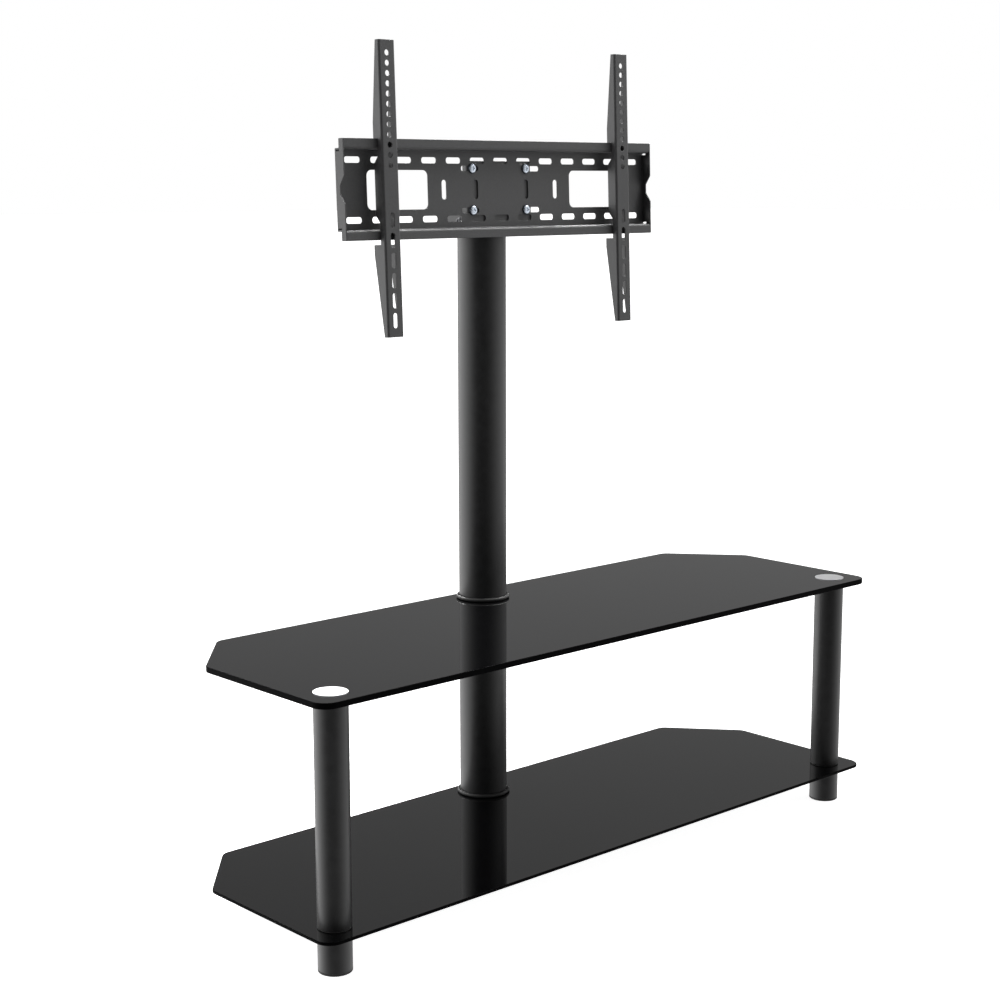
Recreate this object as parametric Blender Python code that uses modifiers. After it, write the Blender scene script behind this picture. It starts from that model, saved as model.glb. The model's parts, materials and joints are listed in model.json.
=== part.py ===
"""Open television stand: two black glass shelves on tubes, a rear pole and a tilting screen mount.

Metres, +Z up, +X to the right and +Y to the back as seen from the front. The origin is on the floor,
under the middle of the shelves. The mount is modelled upright about its pivot and leans with it.
"""

from math import acos, atan2, cos, pi, radians, sin, tan

import bmesh
import bpy
from mathutils import Matrix, Vector

# Fits
GAP = 0.0003
HOLE_CLEARANCE = 0.001

# Glass shelves
SHELF_WIDTH = 1.210
SHELF_DEPTH = 0.400
REAR_CUT_WIDTH = 0.100
REAR_CUT_DEPTH = 0.1185
FRONT_CORNER_RADIUS = 0.025
REAR_CORNER_RADIUS = 0.022
UPPER_GLASS = 0.0092
LOWER_GLASS = 0.005
UPPER_SHELF_TOP = 0.4064
LOWER_SHELF_TOP = 0.0648
GLASS_ARRIS = 0.0008

# Front posts and feet
POST_DIAMETER = 0.050
POST_WALL = 0.002
POST_FROM_SIDE = 0.0495
POST_FROM_FRONT = 0.0477
CAP_THICKNESS = 0.0006
CAP_EDGE = 0.00025
CAP_BOSS_DIAMETER = 0.016
CAP_THREAD_DEPTH = 0.007
CAP_BUSH = 0.0014

# Rear pole
POLE_DIAMETER = 0.080
POLE_WALL = 0.0025
POLE_FROM_BACK = 0.0497
POLE_TOP = 1.016
COLLAR_DIAMETER = 0.090
COLLAR_HEIGHT = 0.006
COLLAR_EDGE = 0.0035
COLLAR_LAP = 0.0045

# Joints between tubes and glass
GASKET = 0.001
GASKET_LAND = 0.010
INSERT_THICKNESS = 0.008
POST_ROD_DIAMETER = 0.010
POLE_ROD_DIAMETER = 0.012
ROD_END = 0.008
ROD_CHAMFER = 0.001
GLIDE_FLANGE = 0.003
GLIDE_EDGE = 0.0006
GLIDE_SPIGOT = 0.010

# Tilting head
LEAN = radians(2.03)
PIVOT_DIAMETER = 0.008
PIVOT_AHEAD_OF_POLE = 0.0323
PIVOT_ABOVE_POLE = 0.022
HEAD_SHEET = 0.004
HEAD_WIDTH = 0.140
HEAD_TOP = 0.045
HEAD_FACE_AHEAD = 0.0149
EAR_DEPTH = 0.012
EAR_SHOULDER = 0.034
EAR_CORNER = 0.006
LOBE_RADIUS = 0.012
YOKE_BEHIND_POLE = 0.035
YOKE_BACK_HEIGHT = 0.008
YOKE_SLOPE_START = 0.024
YOKE_BACK_CORNER = 0.005
SPIGOT_LENGTH = 0.030
SPIGOT_WALL = 0.003
WASHER_THICKNESS = 0.001
WASHER_DIAMETER = 0.022
BOLT_HEAD_DIAMETER = 0.013
BOLT_HEAD_HEIGHT = 0.005
NUT_ACROSS_FLATS = 0.013
NUT_HEIGHT = 0.0065

# Slotted plate
SHEET = 0.002
PLATE_WIDTH = 0.6678
PLATE_HEIGHT = 0.1522
PLATE_DEPTH = 0.0202
PLATE_RISE = 0.0496
LIP_HEIGHT = 0.0141
END_EAR_DEPTH = 0.0106
BEND_RADIUS = 0.0012
NOTCH_MOUTH = 0.0426
NOTCH_FLOOR = 0.014
NOTCH_DEPTH = 0.0102
SLOT_PITCH = 0.0505
SLOT_LENGTH = 0.0305
SLOT_HEIGHT = 0.0096
SLOT_CORNER = 0.0043
SLOT_ROW_RISE = 0.0453
SLOT_END_MARGIN = 0.010
WINDOW_LENGTH = 0.1218
WINDOW_HEIGHT = 0.0604
WINDOW_CORNER = 0.009
WINDOW_SPACING = 0.4308
SIDE_SLOT_SPACING = 0.243
CENTRE_SLOT_SPACING = 0.110
UPRIGHT_SLOT_WIDTH = 0.0098
UPRIGHT_SLOT_HEIGHT = 0.0306
UPRIGHT_SLOT_CORNER = 0.0045
RELIEF_LENGTH = 0.0085
RELIEF_HEIGHT = 0.0026
RELIEF_CORNER = 0.0012
RELIEF_INSET = 0.0003
SCREW_SPACING_X = 0.1164
SCREW_SHIFT = -0.0039
SCREW_SPACING_Z = 0.066
SCREW_SLOT_LENGTH = 0.036
SCREW_SLOT_HEIGHT = 0.0085
SCREW_SLOT_CORNER = 0.0035
SCREW_SLOT_OUTSET = 0.0088
SCREW_DIAMETER = 0.006
SCREW_HEAD_DIAMETER = 0.016
SCREW_HEAD_HEIGHT = 0.0048
SCREW_POINT = 0.002

# Hanging arms
ARM_WIDTH = 0.0315
ARM_SHEET = 0.0025
ARM_SPACING = 0.506
ARM_SHIFT = 0.0008
ARM_ABOVE = 0.2217
ARM_BELOW = 0.2238
ARM_STANDOFF = 0.0109
ARM_TIP_DEPTH = 0.008
ARM_UPPER_DEPTH = 0.0205
ARM_LOWER_DEPTH = 0.0258
ARM_INNER_DEPTH = 0.0199
ARM_UPPER_TAPER_END = 0.100
ARM_LOWER_TAPER_END = 0.098
ARM_HOOK_DROP = 0.011
ARM_HOOK_SLACK = 0.001
ARM_INNER_HALF = 0.0395
ARM_INNER_CHAMFER = 0.011
ARM_LIFT_ROOM = 0.007
ARM_HOLE_DIAMETER = 0.009
ARM_HOLE_PITCH = 0.01515
ARM_HOLES = 12
ARM_HOLE_FROM_TOP = 0.0189
ARM_SLOT_WIDTH = 0.0085
ARM_SLOT_CORNER = 0.0039
ARM_SLOT_LENGTH = 0.0233
ARM_SLOT_PITCH = 0.0304
ARM_SLOTS = 6
ARM_SLOT_FROM_BOTTOM = 0.0254

# Fineness of round shapes
ROUND_STEPS = 32
SMALL_ROUND_STEPS = 16
CORNER_STEPS = 3
SLOT_CORNER_STEPS = 2

# Heights and places that follow from the sizes above
LOWER_SHELF_BOTTOM = LOWER_SHELF_TOP - LOWER_GLASS
UPPER_SHELF_BOTTOM = UPPER_SHELF_TOP - UPPER_GLASS
SEAT = GASKET + 2 * GAP
FOOT_BOTTOM = GLIDE_FLANGE + GAP
FOOT_TOP = LOWER_SHELF_BOTTOM - SEAT
TUBE_BOTTOM = LOWER_SHELF_TOP + SEAT
TUBE_TOP = UPPER_SHELF_BOTTOM - SEAT
POLE_UPPER_BOTTOM = UPPER_SHELF_TOP + SEAT
CAP_HOLE_DIAMETER = CAP_BOSS_DIAMETER + 2 * (CAP_BUSH + 2 * GAP)
POST_X = SHELF_WIDTH / 2 - POST_FROM_SIDE
POST_Y = POST_FROM_FRONT - SHELF_DEPTH / 2
POLE_Y = SHELF_DEPTH / 2 - POLE_FROM_BACK
PIVOT_Y = POLE_Y - PIVOT_AHEAD_OF_POLE
PIVOT_Z = POLE_TOP + PIVOT_ABOVE_POLE
EAR_OUTER = HEAD_WIDTH / 2
CHEEK_INNER = EAR_OUTER + WASHER_THICKNESS + 2 * GAP
CHEEK_OUTER = CHEEK_INNER + HEAD_SHEET
WEB_BACK = -HEAD_FACE_AHEAD - GAP
LIP_FACE = WEB_BACK - PLATE_DEPTH
WEB_FACE = WEB_BACK - SHEET
ARM_FACE = LIP_FACE - ARM_STANDOFF
LIP_TOP = PLATE_HEIGHT / 2
FLANGE_TOP = LIP_TOP - LIP_HEIGHT
CUT_MARGIN = 0.02


def clear_scene():
    for obj in list(bpy.data.objects):
        bpy.data.objects.remove(obj)


def collection(name):
    made = bpy.data.collections.new(name)
    bpy.context.scene.collection.children.link(made)
    return made


def finish(name, colour, roughness, metallic):
    material = bpy.data.materials.new(name)
    material.use_nodes = True
    shader = material.node_tree.nodes["Principled BSDF"]
    shader.inputs["Base Color"].default_value = (*colour, 1.0)
    shader.inputs["Roughness"].default_value = roughness
    shader.inputs["Metallic"].default_value = metallic
    return material


clear_scene()
PARTS = collection("television_stand")
CUTTERS = collection("cutters")

BLACK_GLASS = finish("black_glass", (0.006, 0.006, 0.007), 0.04, 0.0)
POST_LACQUER = finish("post_lacquer", (0.012, 0.012, 0.013), 0.28, 0.0)
POLE_LACQUER = finish("pole_lacquer", (0.012, 0.012, 0.013), 0.28, 0.0)
BRIGHT_CAP = finish("bright_cap", (0.80, 0.80, 0.80), 0.30, 1.0)
COLLAR_BLACK = finish("collar_black", (0.008, 0.008, 0.008), 0.18, 0.0)
GASKET_RUBBER = finish("gasket_rubber", (0.02, 0.02, 0.02), 0.70, 0.0)
GLIDE_BLACK = finish("glide_black", (0.015, 0.015, 0.015), 0.55, 0.0)
ROD_STEEL = finish("rod_steel", (0.45, 0.45, 0.46), 0.35, 1.0)
INSERT_STEEL = finish("insert_steel", (0.35, 0.35, 0.36), 0.50, 1.0)
YOKE_COAT = finish("yoke_coat", (0.034, 0.034, 0.035), 0.55, 0.0)
BRACKET_COAT = finish("bracket_coat", (0.034, 0.034, 0.035), 0.55, 0.0)
PLATE_COAT = finish("plate_coat", (0.034, 0.034, 0.035), 0.55, 0.0)
ARM_COAT = finish("arm_coat", (0.034, 0.034, 0.035), 0.55, 0.0)
SCREW_ZINC = finish("screw_zinc", (0.70, 0.73, 0.78), 0.25, 1.0)
BOLT_ZINC = finish("bolt_zinc", (0.70, 0.73, 0.78), 0.25, 1.0)
WASHER_FIBRE = finish("washer_fibre", (0.30, 0.27, 0.22), 0.80, 0.0)


def rounded(corners, steps=CORNER_STEPS):
    """Closed outline through corners (u, v, radius), each rounded by an arc of its radius."""
    points = []
    for i, (u, v, radius) in enumerate(corners):
        corner = Vector((u, v))
        if radius == 0:
            points.append((u, v))
            continue
        before = (Vector(corners[i - 1][:2]) - corner).normalized()
        after = (Vector(corners[(i + 1) % len(corners)][:2]) - corner).normalized()
        half = acos(max(-1.0, min(1.0, before.dot(after)))) / 2
        centre = corner + (before + after).normalized() * (radius / sin(half))
        start = corner + before * (radius / tan(half)) - centre
        turn = pi - 2 * half
        if before.cross(after) > 0:
            turn = -turn
        first = atan2(start.y, start.x)
        for k in range(steps + 1):
            angle = first + turn * k / steps
            points.append((centre.x + radius * cos(angle), centre.y + radius * sin(angle)))
    return points


def rectangle(u, v, width, height, corner=0):
    """Outline of a rectangle about (u, v) with rounded corners."""
    a, b = width / 2, height / 2
    corners = [(u - a, v - b, corner), (u + a, v - b, corner), (u + a, v + b, corner), (u - a, v + b, corner)]
    return rounded(corners, SLOT_CORNER_STEPS)


def circle(u, v, diameter, steps=SMALL_ROUND_STEPS):
    turns = [2 * pi * k / steps for k in range(steps)]
    return [(u + diameter / 2 * cos(a), v + diameter / 2 * sin(a)) for a in turns]


# An outline drawn in (u, v) and extruded along w, turned so that w lies along an axis of the part
ALONG = {
    "X": Matrix(((0, 0, 1, 0), (1, 0, 0, 0), (0, 1, 0, 0), (0, 0, 0, 1))),
    "Y": Matrix(((1, 0, 0, 0), (0, 0, -1, 0), (0, 1, 0, 0), (0, 0, 0, 1))),
    "Z": Matrix.Identity(4),
}


def place(obj, material, spot=(0, 0, 0), parent=None, turn=(0, 0, 0)):
    """Puts a finished piece, or a cutter where there is no material, in its collection and place."""
    obj.location = spot
    obj.rotation_euler = turn
    obj.parent = parent
    if material is None:
        CUTTERS.objects.link(obj)
        obj.hide_render = True
        obj.display_type = "WIRE"
    else:
        PARTS.objects.link(obj)
        obj.data.materials.clear()
        obj.data.materials.append(material)
    return obj


def solid_mesh(name, source):
    """The evaluated mesh of a helper object as a closed mesh with welded caps; the helper is removed."""
    bpy.context.scene.collection.objects.link(source)
    graph = bpy.context.evaluated_depsgraph_get()
    mesh = bpy.data.meshes.new_from_object(source.evaluated_get(graph))
    bpy.data.objects.remove(source)
    mesh.name = name
    shape = bmesh.new()
    shape.from_mesh(mesh)
    bmesh.ops.remove_doubles(shape, verts=shape.verts, dist=0.00001)
    bmesh.ops.recalc_face_normals(shape, faces=shape.faces)
    shape.to_mesh(mesh)
    shape.free()
    mesh.shade_smooth()
    mesh.set_sharp_from_angle(angle=radians(35))
    return mesh


def extruded(name, outlines, low, high, along):
    """Solid of one or more flat outlines, running from low to high along an axis."""
    curve = bpy.data.curves.new(name + "_outline", "CURVE")
    curve.dimensions = "2D"
    curve.fill_mode = "BOTH"
    curve.extrude = (high - low) / 2
    for outline in outlines:
        spline = curve.splines.new("POLY")
        spline.points.add(len(outline) - 1)
        for point, (u, v) in zip(spline.points, outline):
            point.co = (u, v, 0, 1)
        spline.use_cyclic_u = True
    mesh = solid_mesh(name, bpy.data.objects.new(name + "_outline", curve))
    middle = (low + high) / 2 * (-1 if along == "Y" else 1)
    mesh.transform(ALONG[along] @ Matrix.Translation((0, 0, middle)))
    return bpy.data.objects.new(name, mesh)


def turned(name, profile, steps=ROUND_STEPS):
    """Solid of a profile (radius, z) turned about Z; a profile off the axis closes into a ring."""
    mesh = bpy.data.meshes.new(name + "_profile")
    edges = [(i, i + 1) for i in range(len(profile) - 1)]
    if profile[0][0] > 0:
        edges.append((len(profile) - 1, 0))
    mesh.from_pydata([(r, 0, z) for r, z in profile], edges, [])
    source = bpy.data.objects.new(name + "_profile", mesh)
    screw = source.modifiers.new("turn", "SCREW")
    screw.axis = "Z"
    screw.angle = 2 * pi
    screw.steps = steps
    screw.render_steps = steps
    screw.use_merge_vertices = True
    screw.merge_threshold = 0.00001
    return bpy.data.objects.new(name, solid_mesh(name, source))


def ring(name, outer, inner, bottom, top, steps=ROUND_STEPS):
    return turned(name, [(outer, top), (outer, bottom), (inner, bottom), (inner, top)], steps)


def cut(obj, cutter):
    modifier = obj.modifiers.new(cutter.name, "BOOLEAN")
    modifier.operation = "DIFFERENCE"
    modifier.object = cutter


def join(obj, other):
    modifier = obj.modifiers.new(other.name, "BOOLEAN")
    modifier.operation = "UNION"
    modifier.object = other


def ease_edges(obj, width):
    bevel = obj.modifiers.new("eased_edges", "BEVEL")
    bevel.width = width
    bevel.segments = 1
    bevel.limit_method = "ANGLE"
    bevel.angle_limit = radians(60)


def shelf(name, bottom, top, post_hole):
    """Glass sheet with cut-off rear corners, drilled for the two post rods and the pole rod."""
    side, back = SHELF_WIDTH / 2, SHELF_DEPTH / 2
    outline = rounded(
        [
            (-side, -back, FRONT_CORNER_RADIUS),
            (side, -back, FRONT_CORNER_RADIUS),
            (side, back - REAR_CUT_DEPTH, REAR_CORNER_RADIUS),
            (side - REAR_CUT_WIDTH, back, REAR_CORNER_RADIUS),
            (REAR_CUT_WIDTH - side, back, REAR_CORNER_RADIUS),
            (-side, back - REAR_CUT_DEPTH, REAR_CORNER_RADIUS),
        ],
        2 * CORNER_STEPS,
    )
    sheet = place(extruded(name, [outline], bottom, top, "Z"), BLACK_GLASS)
    ease_edges(sheet, GLASS_ARRIS)
    pole_hole = POLE_ROD_DIAMETER + 2 * HOLE_CLEARANCE
    holes = [circle(sign * POST_X, POST_Y, post_hole) for sign in (-1, 1)]
    holes.append(circle(0, POLE_Y, pole_hole))
    drill = extruded(name + "_holes", holes, bottom - CUT_MARGIN, top + CUT_MARGIN, "Z")
    cut(sheet, place(drill, None))


def glide(name, spot, diameter, wall):
    """Pad under a foot, with a spigot that sits in the tube."""
    radius = diameter / 2
    spigot = radius - wall - GAP
    top = GLIDE_FLANGE + GLIDE_SPIGOT
    profile = [(0, top), (spigot, top), (spigot, GLIDE_FLANGE), (radius, GLIDE_FLANGE)]
    profile += [(radius, GLIDE_EDGE), (radius - GLIDE_EDGE, 0), (0, 0)]
    place(turned(name, profile), GLIDE_BLACK, spot)


def tube(name, spot, diameter, wall, bottom, top, material):
    place(ring(name, diameter / 2, diameter / 2 - wall, bottom, top), material, spot)


def insert(name, spot, diameter, wall, rod, bottom):
    """Thick washer fixed in the end of a tube, which the rod passes through or screws into."""
    outer = diameter / 2 - wall - GAP
    made = ring(name, outer, rod / 2 + GAP, bottom, bottom + INSERT_THICKNESS, SMALL_ROUND_STEPS)
    place(made, INSERT_STEEL, spot)


def gasket(name, spot, diameter, bottom):
    inner = diameter / 2 - GASKET_LAND
    place(ring(name, diameter / 2, inner, bottom, bottom + GASKET, SMALL_ROUND_STEPS), GASKET_RUBBER, spot)


def rod(name, spot, diameter, bottom, top):
    radius, tip = diameter / 2, diameter / 2 - ROD_CHAMFER
    profile = [(0, top), (tip, top), (radius, top - ROD_CHAMFER)]
    profile += [(radius, bottom + ROD_CHAMFER), (tip, bottom), (0, bottom)]
    place(turned(name, profile, SMALL_ROUND_STEPS), ROD_STEEL, spot)


def post_cap(name, spot):
    """Flat disc on the glass, with a threaded boss that reaches down through the glass to the rod."""
    bottom = UPPER_SHELF_TOP + GAP
    top = bottom + CAP_THICKNESS
    disc, boss, thread = POST_DIAMETER / 2, CAP_BOSS_DIAMETER / 2, POST_ROD_DIAMETER / 2 + GAP
    profile = [(0, top), (disc - CAP_EDGE, top), (disc, top - CAP_EDGE), (disc, bottom), (boss, bottom)]
    profile += [(boss, UPPER_SHELF_BOTTOM), (thread, UPPER_SHELF_BOTTOM)]
    profile += [(thread, UPPER_SHELF_BOTTOM + CAP_THREAD_DEPTH), (0, UPPER_SHELF_BOTTOM + CAP_THREAD_DEPTH)]
    place(turned(name, profile), BRIGHT_CAP, spot)


def front_column(side, sign):
    """Glide, foot, post and cap on one rod, with the glass between them and a bush round the cap's boss."""
    spot = (sign * POST_X, POST_Y, 0)
    glide(side + "_glide", spot, POST_DIAMETER, POST_WALL)
    tube(side + "_foot", spot, POST_DIAMETER, POST_WALL, FOOT_BOTTOM, FOOT_TOP, POST_LACQUER)
    tube(side + "_post", spot, POST_DIAMETER, POST_WALL, TUBE_BOTTOM, TUBE_TOP, POST_LACQUER)
    fit = (spot, POST_DIAMETER, POST_WALL, POST_ROD_DIAMETER)
    insert(side + "_foot_nut_plate", *fit, FOOT_TOP - INSERT_THICKNESS)
    insert(side + "_post_lower_insert", *fit, TUBE_BOTTOM)
    insert(side + "_post_upper_insert", *fit, TUBE_TOP - INSERT_THICKNESS)
    gasket(side + "_gasket_below_lower_shelf", spot, POST_DIAMETER, FOOT_TOP + GAP)
    gasket(side + "_gasket_above_lower_shelf", spot, POST_DIAMETER, LOWER_SHELF_TOP + GAP)
    gasket(side + "_gasket_below_upper_shelf", spot, POST_DIAMETER, TUBE_TOP + GAP)
    post_cap(side + "_cap", spot)
    outer, inner = CAP_HOLE_DIAMETER / 2 - GAP, CAP_BOSS_DIAMETER / 2 + GAP
    bush = ring(side + "_cap_bush", outer, inner, UPPER_SHELF_BOTTOM, UPPER_SHELF_TOP, SMALL_ROUND_STEPS)
    place(bush, GASKET_RUBBER, spot)
    low = FOOT_TOP - INSERT_THICKNESS - ROD_END
    high = UPPER_SHELF_BOTTOM + CAP_THREAD_DEPTH - GAP
    rod(side + "_rod", spot, POST_ROD_DIAMETER, low, high)


def collar(name, shelf_top):
    """Bead round the foot of a pole tube, with a thin land that the tube stands on."""
    inner, bore, outer = POLE_DIAMETER / 2 - COLLAR_LAP, POLE_DIAMETER / 2 + GAP, COLLAR_DIAMETER / 2
    ease = COLLAR_EDGE / 4
    corners = [(bore, COLLAR_HEIGHT, ease), (outer, COLLAR_HEIGHT, COLLAR_EDGE), (outer, 0, ease)]
    corners += [(inner, 0, 0), (inner, GASKET, 0), (bore, GASKET, 0)]
    bead = turned(name, rounded(corners, SLOT_CORNER_STEPS))
    place(bead, COLLAR_BLACK, (0, POLE_Y, shelf_top + GAP))


def rear_column():
    """Glide, foot, lower pole tube and upper pole tube, with the glass held between them by one rod."""
    spot = (0, POLE_Y, 0)
    glide("rear_glide", spot, POLE_DIAMETER, POLE_WALL)
    tube("rear_foot", spot, POLE_DIAMETER, POLE_WALL, FOOT_BOTTOM, FOOT_TOP, POLE_LACQUER)
    tube("pole_lower", spot, POLE_DIAMETER, POLE_WALL, TUBE_BOTTOM, TUBE_TOP, POLE_LACQUER)
    tube("pole_upper", spot, POLE_DIAMETER, POLE_WALL, POLE_UPPER_BOTTOM, POLE_TOP, POLE_LACQUER)
    fit = (spot, POLE_DIAMETER, POLE_WALL, POLE_ROD_DIAMETER)
    insert("rear_foot_nut_plate", *fit, FOOT_TOP - INSERT_THICKNESS)
    insert("pole_lower_insert", *fit, TUBE_BOTTOM)
    insert("pole_middle_insert", *fit, TUBE_TOP - INSERT_THICKNESS)
    insert("pole_upper_insert", *fit, POLE_UPPER_BOTTOM)
    gasket("pole_gasket_below_lower_shelf", spot, POLE_DIAMETER, FOOT_TOP + GAP)
    gasket("pole_gasket_below_upper_shelf", spot, POLE_DIAMETER, TUBE_TOP + GAP)
    collar("lower_collar", LOWER_SHELF_TOP)
    collar("upper_collar", UPPER_SHELF_TOP)
    low = FOOT_TOP - INSERT_THICKNESS - ROD_END
    rod("pole_rod", spot, POLE_ROD_DIAMETER, low, POLE_UPPER_BOTTOM + INSERT_THICKNESS + ROD_END)


def pivot_drill(name, spot, parent=None):
    hole = circle(0, 0, PIVOT_DIAMETER + 2 * GAP)
    reach = CHEEK_OUTER + CUT_MARGIN
    return place(extruded(name, [hole], -reach, reach, "X"), None, spot, parent)


def head_yoke():
    """Channel on top of the pole: a floor, two cheeks that hold the pivot bolts, and a spigot in the pole."""
    floor = GAP - PIVOT_ABOVE_POLE
    back = PIVOT_AHEAD_OF_POLE + YOKE_BEHIND_POLE
    spot = (0, PIVOT_Y, PIVOT_Z)
    outline = rounded(
        [
            (-LOBE_RADIUS, floor, 0),
            (back, floor, 0),
            (back, floor + YOKE_BACK_HEIGHT, YOKE_BACK_CORNER),
            (YOKE_SLOPE_START, LOBE_RADIUS, LOBE_RADIUS),
            (-LOBE_RADIUS, LOBE_RADIUS, LOBE_RADIUS),
        ]
    )
    yoke = place(extruded("head_yoke", [outline], -CHEEK_OUTER, CHEEK_OUTER, "X"), YOKE_COAT, spot)
    length = back + LOBE_RADIUS + 2 * CUT_MARGIN
    height = LOBE_RADIUS - floor - HEAD_SHEET + CUT_MARGIN
    hollow = rectangle((back - LOBE_RADIUS) / 2, floor + HEAD_SHEET + height / 2, length, height)
    cut(yoke, place(extruded("yoke_channel", [hollow], -CHEEK_INNER, CHEEK_INNER, "X"), None, spot))
    cut(yoke, pivot_drill("yoke_pivot_hole", spot))
    bore = POLE_DIAMETER / 2 - POLE_WALL - GAP
    low, high = POLE_TOP - SPIGOT_LENGTH, POLE_TOP + HEAD_SHEET / 2
    join(yoke, place(ring("yoke_spigot", bore, bore - SPIGOT_WALL, low, high), None, (0, POLE_Y, 0)))


def pivot_hardware(side, sign):
    """Bolt through cheek, friction washer and ear, with its nut inside the ear."""
    spot, turn = (0, PIVOT_Y, PIVOT_Z), (0, sign * pi / 2, 0)
    nut_top = EAR_OUTER - HEAD_SHEET - GAP
    nut_bottom = nut_top - NUT_HEIGHT
    head, shank = BOLT_HEAD_DIAMETER / 2, PIVOT_DIAMETER / 2
    seat = CHEEK_OUTER + GAP
    top = seat + BOLT_HEAD_HEIGHT
    profile = [(0, top), (head * 0.7, top), (head, top - BOLT_HEAD_HEIGHT / 3), (head, seat), (shank, seat)]
    profile += [(shank, nut_bottom - ROD_CHAMFER), (0, nut_bottom - ROD_CHAMFER)]
    place(turned(side + "_pivot_bolt", profile, SMALL_ROUND_STEPS), BOLT_ZINC, spot, None, turn)
    flats = circle(0, 0, NUT_ACROSS_FLATS / cos(pi / 6), 6)
    bore = PIVOT_DIAMETER / 2 + GAP
    nut = extruded(side + "_pivot_nut", [flats, circle(0, 0, 2 * bore)], nut_bottom, nut_top, "Z")
    place(nut, BOLT_ZINC, spot, None, turn)
    low = EAR_OUTER + GAP
    outer = WASHER_DIAMETER / 2
    washer = ring(side + "_friction_washer", outer, bore, low, low + WASHER_THICKNESS, SMALL_ROUND_STEPS)
    place(washer, WASHER_FIBRE, spot, None, turn)


def screw_places():
    for level, rise in (("upper", SCREW_SPACING_Z / 2), ("lower", -SCREW_SPACING_Z / 2)):
        for side, sign in (("left", -1), ("right", 1)):
            yield f"{level}_{side}_screw", sign * SCREW_SPACING_X / 2 + SCREW_SHIFT, PLATE_RISE + rise


def tilt_bracket(tilt):
    """Backing plate of the mount, with two ears that turn on the pivot bolts."""
    face, top = -HEAD_FACE_AHEAD, PLATE_RISE + HEAD_TOP
    waist = face + EAR_DEPTH
    outline = rounded(
        [
            (face, -LOBE_RADIUS, 0),
            (LOBE_RADIUS, -LOBE_RADIUS, LOBE_RADIUS * 0.95),
            (LOBE_RADIUS, LOBE_RADIUS, LOBE_RADIUS * 0.7),
            (waist, EAR_SHOULDER, EAR_CORNER),
            (waist, top, EAR_CORNER),
            (face, top, 0),
        ]
    )
    bracket = extruded("tilt_bracket", [outline], -EAR_OUTER, EAR_OUTER, "X")
    place(bracket, BRACKET_COAT, parent=tilt)
    depth = LOBE_RADIUS - face - HEAD_SHEET + CUT_MARGIN
    height = top + LOBE_RADIUS + 2 * CUT_MARGIN
    hollow = rectangle(face + HEAD_SHEET + depth / 2, (top - LOBE_RADIUS) / 2, depth, height)
    inside = EAR_OUTER - HEAD_SHEET
    cut(bracket, place(extruded("bracket_channel", [hollow], -inside, inside, "X"), None, parent=tilt))
    cut(bracket, pivot_drill("bracket_pivot_hole", (0, 0, 0), tilt))
    holes = [circle(x, z, SCREW_DIAMETER + 2 * GAP) for _, x, z in screw_places()]
    drill = extruded("bracket_screw_holes", holes, face - CUT_MARGIN, face + HEAD_SHEET + CUT_MARGIN, "Y")
    cut(bracket, place(drill, None, parent=tilt))


def plate_openings():
    """Outlines of every opening in the web of the plate."""
    reach = PLATE_WIDTH / 2 - SHEET - SLOT_END_MARGIN - SLOT_LENGTH / 2
    count = int(reach / SLOT_PITCH)
    for column in range(-count, count + 1):
        for row in (-SLOT_ROW_RISE, SLOT_ROW_RISE):
            yield rectangle(column * SLOT_PITCH, PLATE_RISE + row, SLOT_LENGTH, SLOT_HEIGHT, SLOT_CORNER)
    for sign in (-1, 1):
        yield rectangle(sign * WINDOW_SPACING / 2, PLATE_RISE, WINDOW_LENGTH, WINDOW_HEIGHT, WINDOW_CORNER)
        for spacing in (SIDE_SLOT_SPACING, CENTRE_SLOT_SPACING):
            upright = (UPRIGHT_SLOT_WIDTH, UPRIGHT_SLOT_HEIGHT, UPRIGHT_SLOT_CORNER)
            yield rectangle(sign * spacing / 2, PLATE_RISE, *upright)
        for row in (-SCREW_SPACING_Z / 2, SCREW_SPACING_Z / 2):
            x = sign * (SCREW_SPACING_X / 2 + SCREW_SLOT_OUTSET)
            yield rectangle(x, PLATE_RISE + row, SCREW_SLOT_LENGTH, SCREW_SLOT_HEIGHT, SCREW_SLOT_CORNER)


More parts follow.
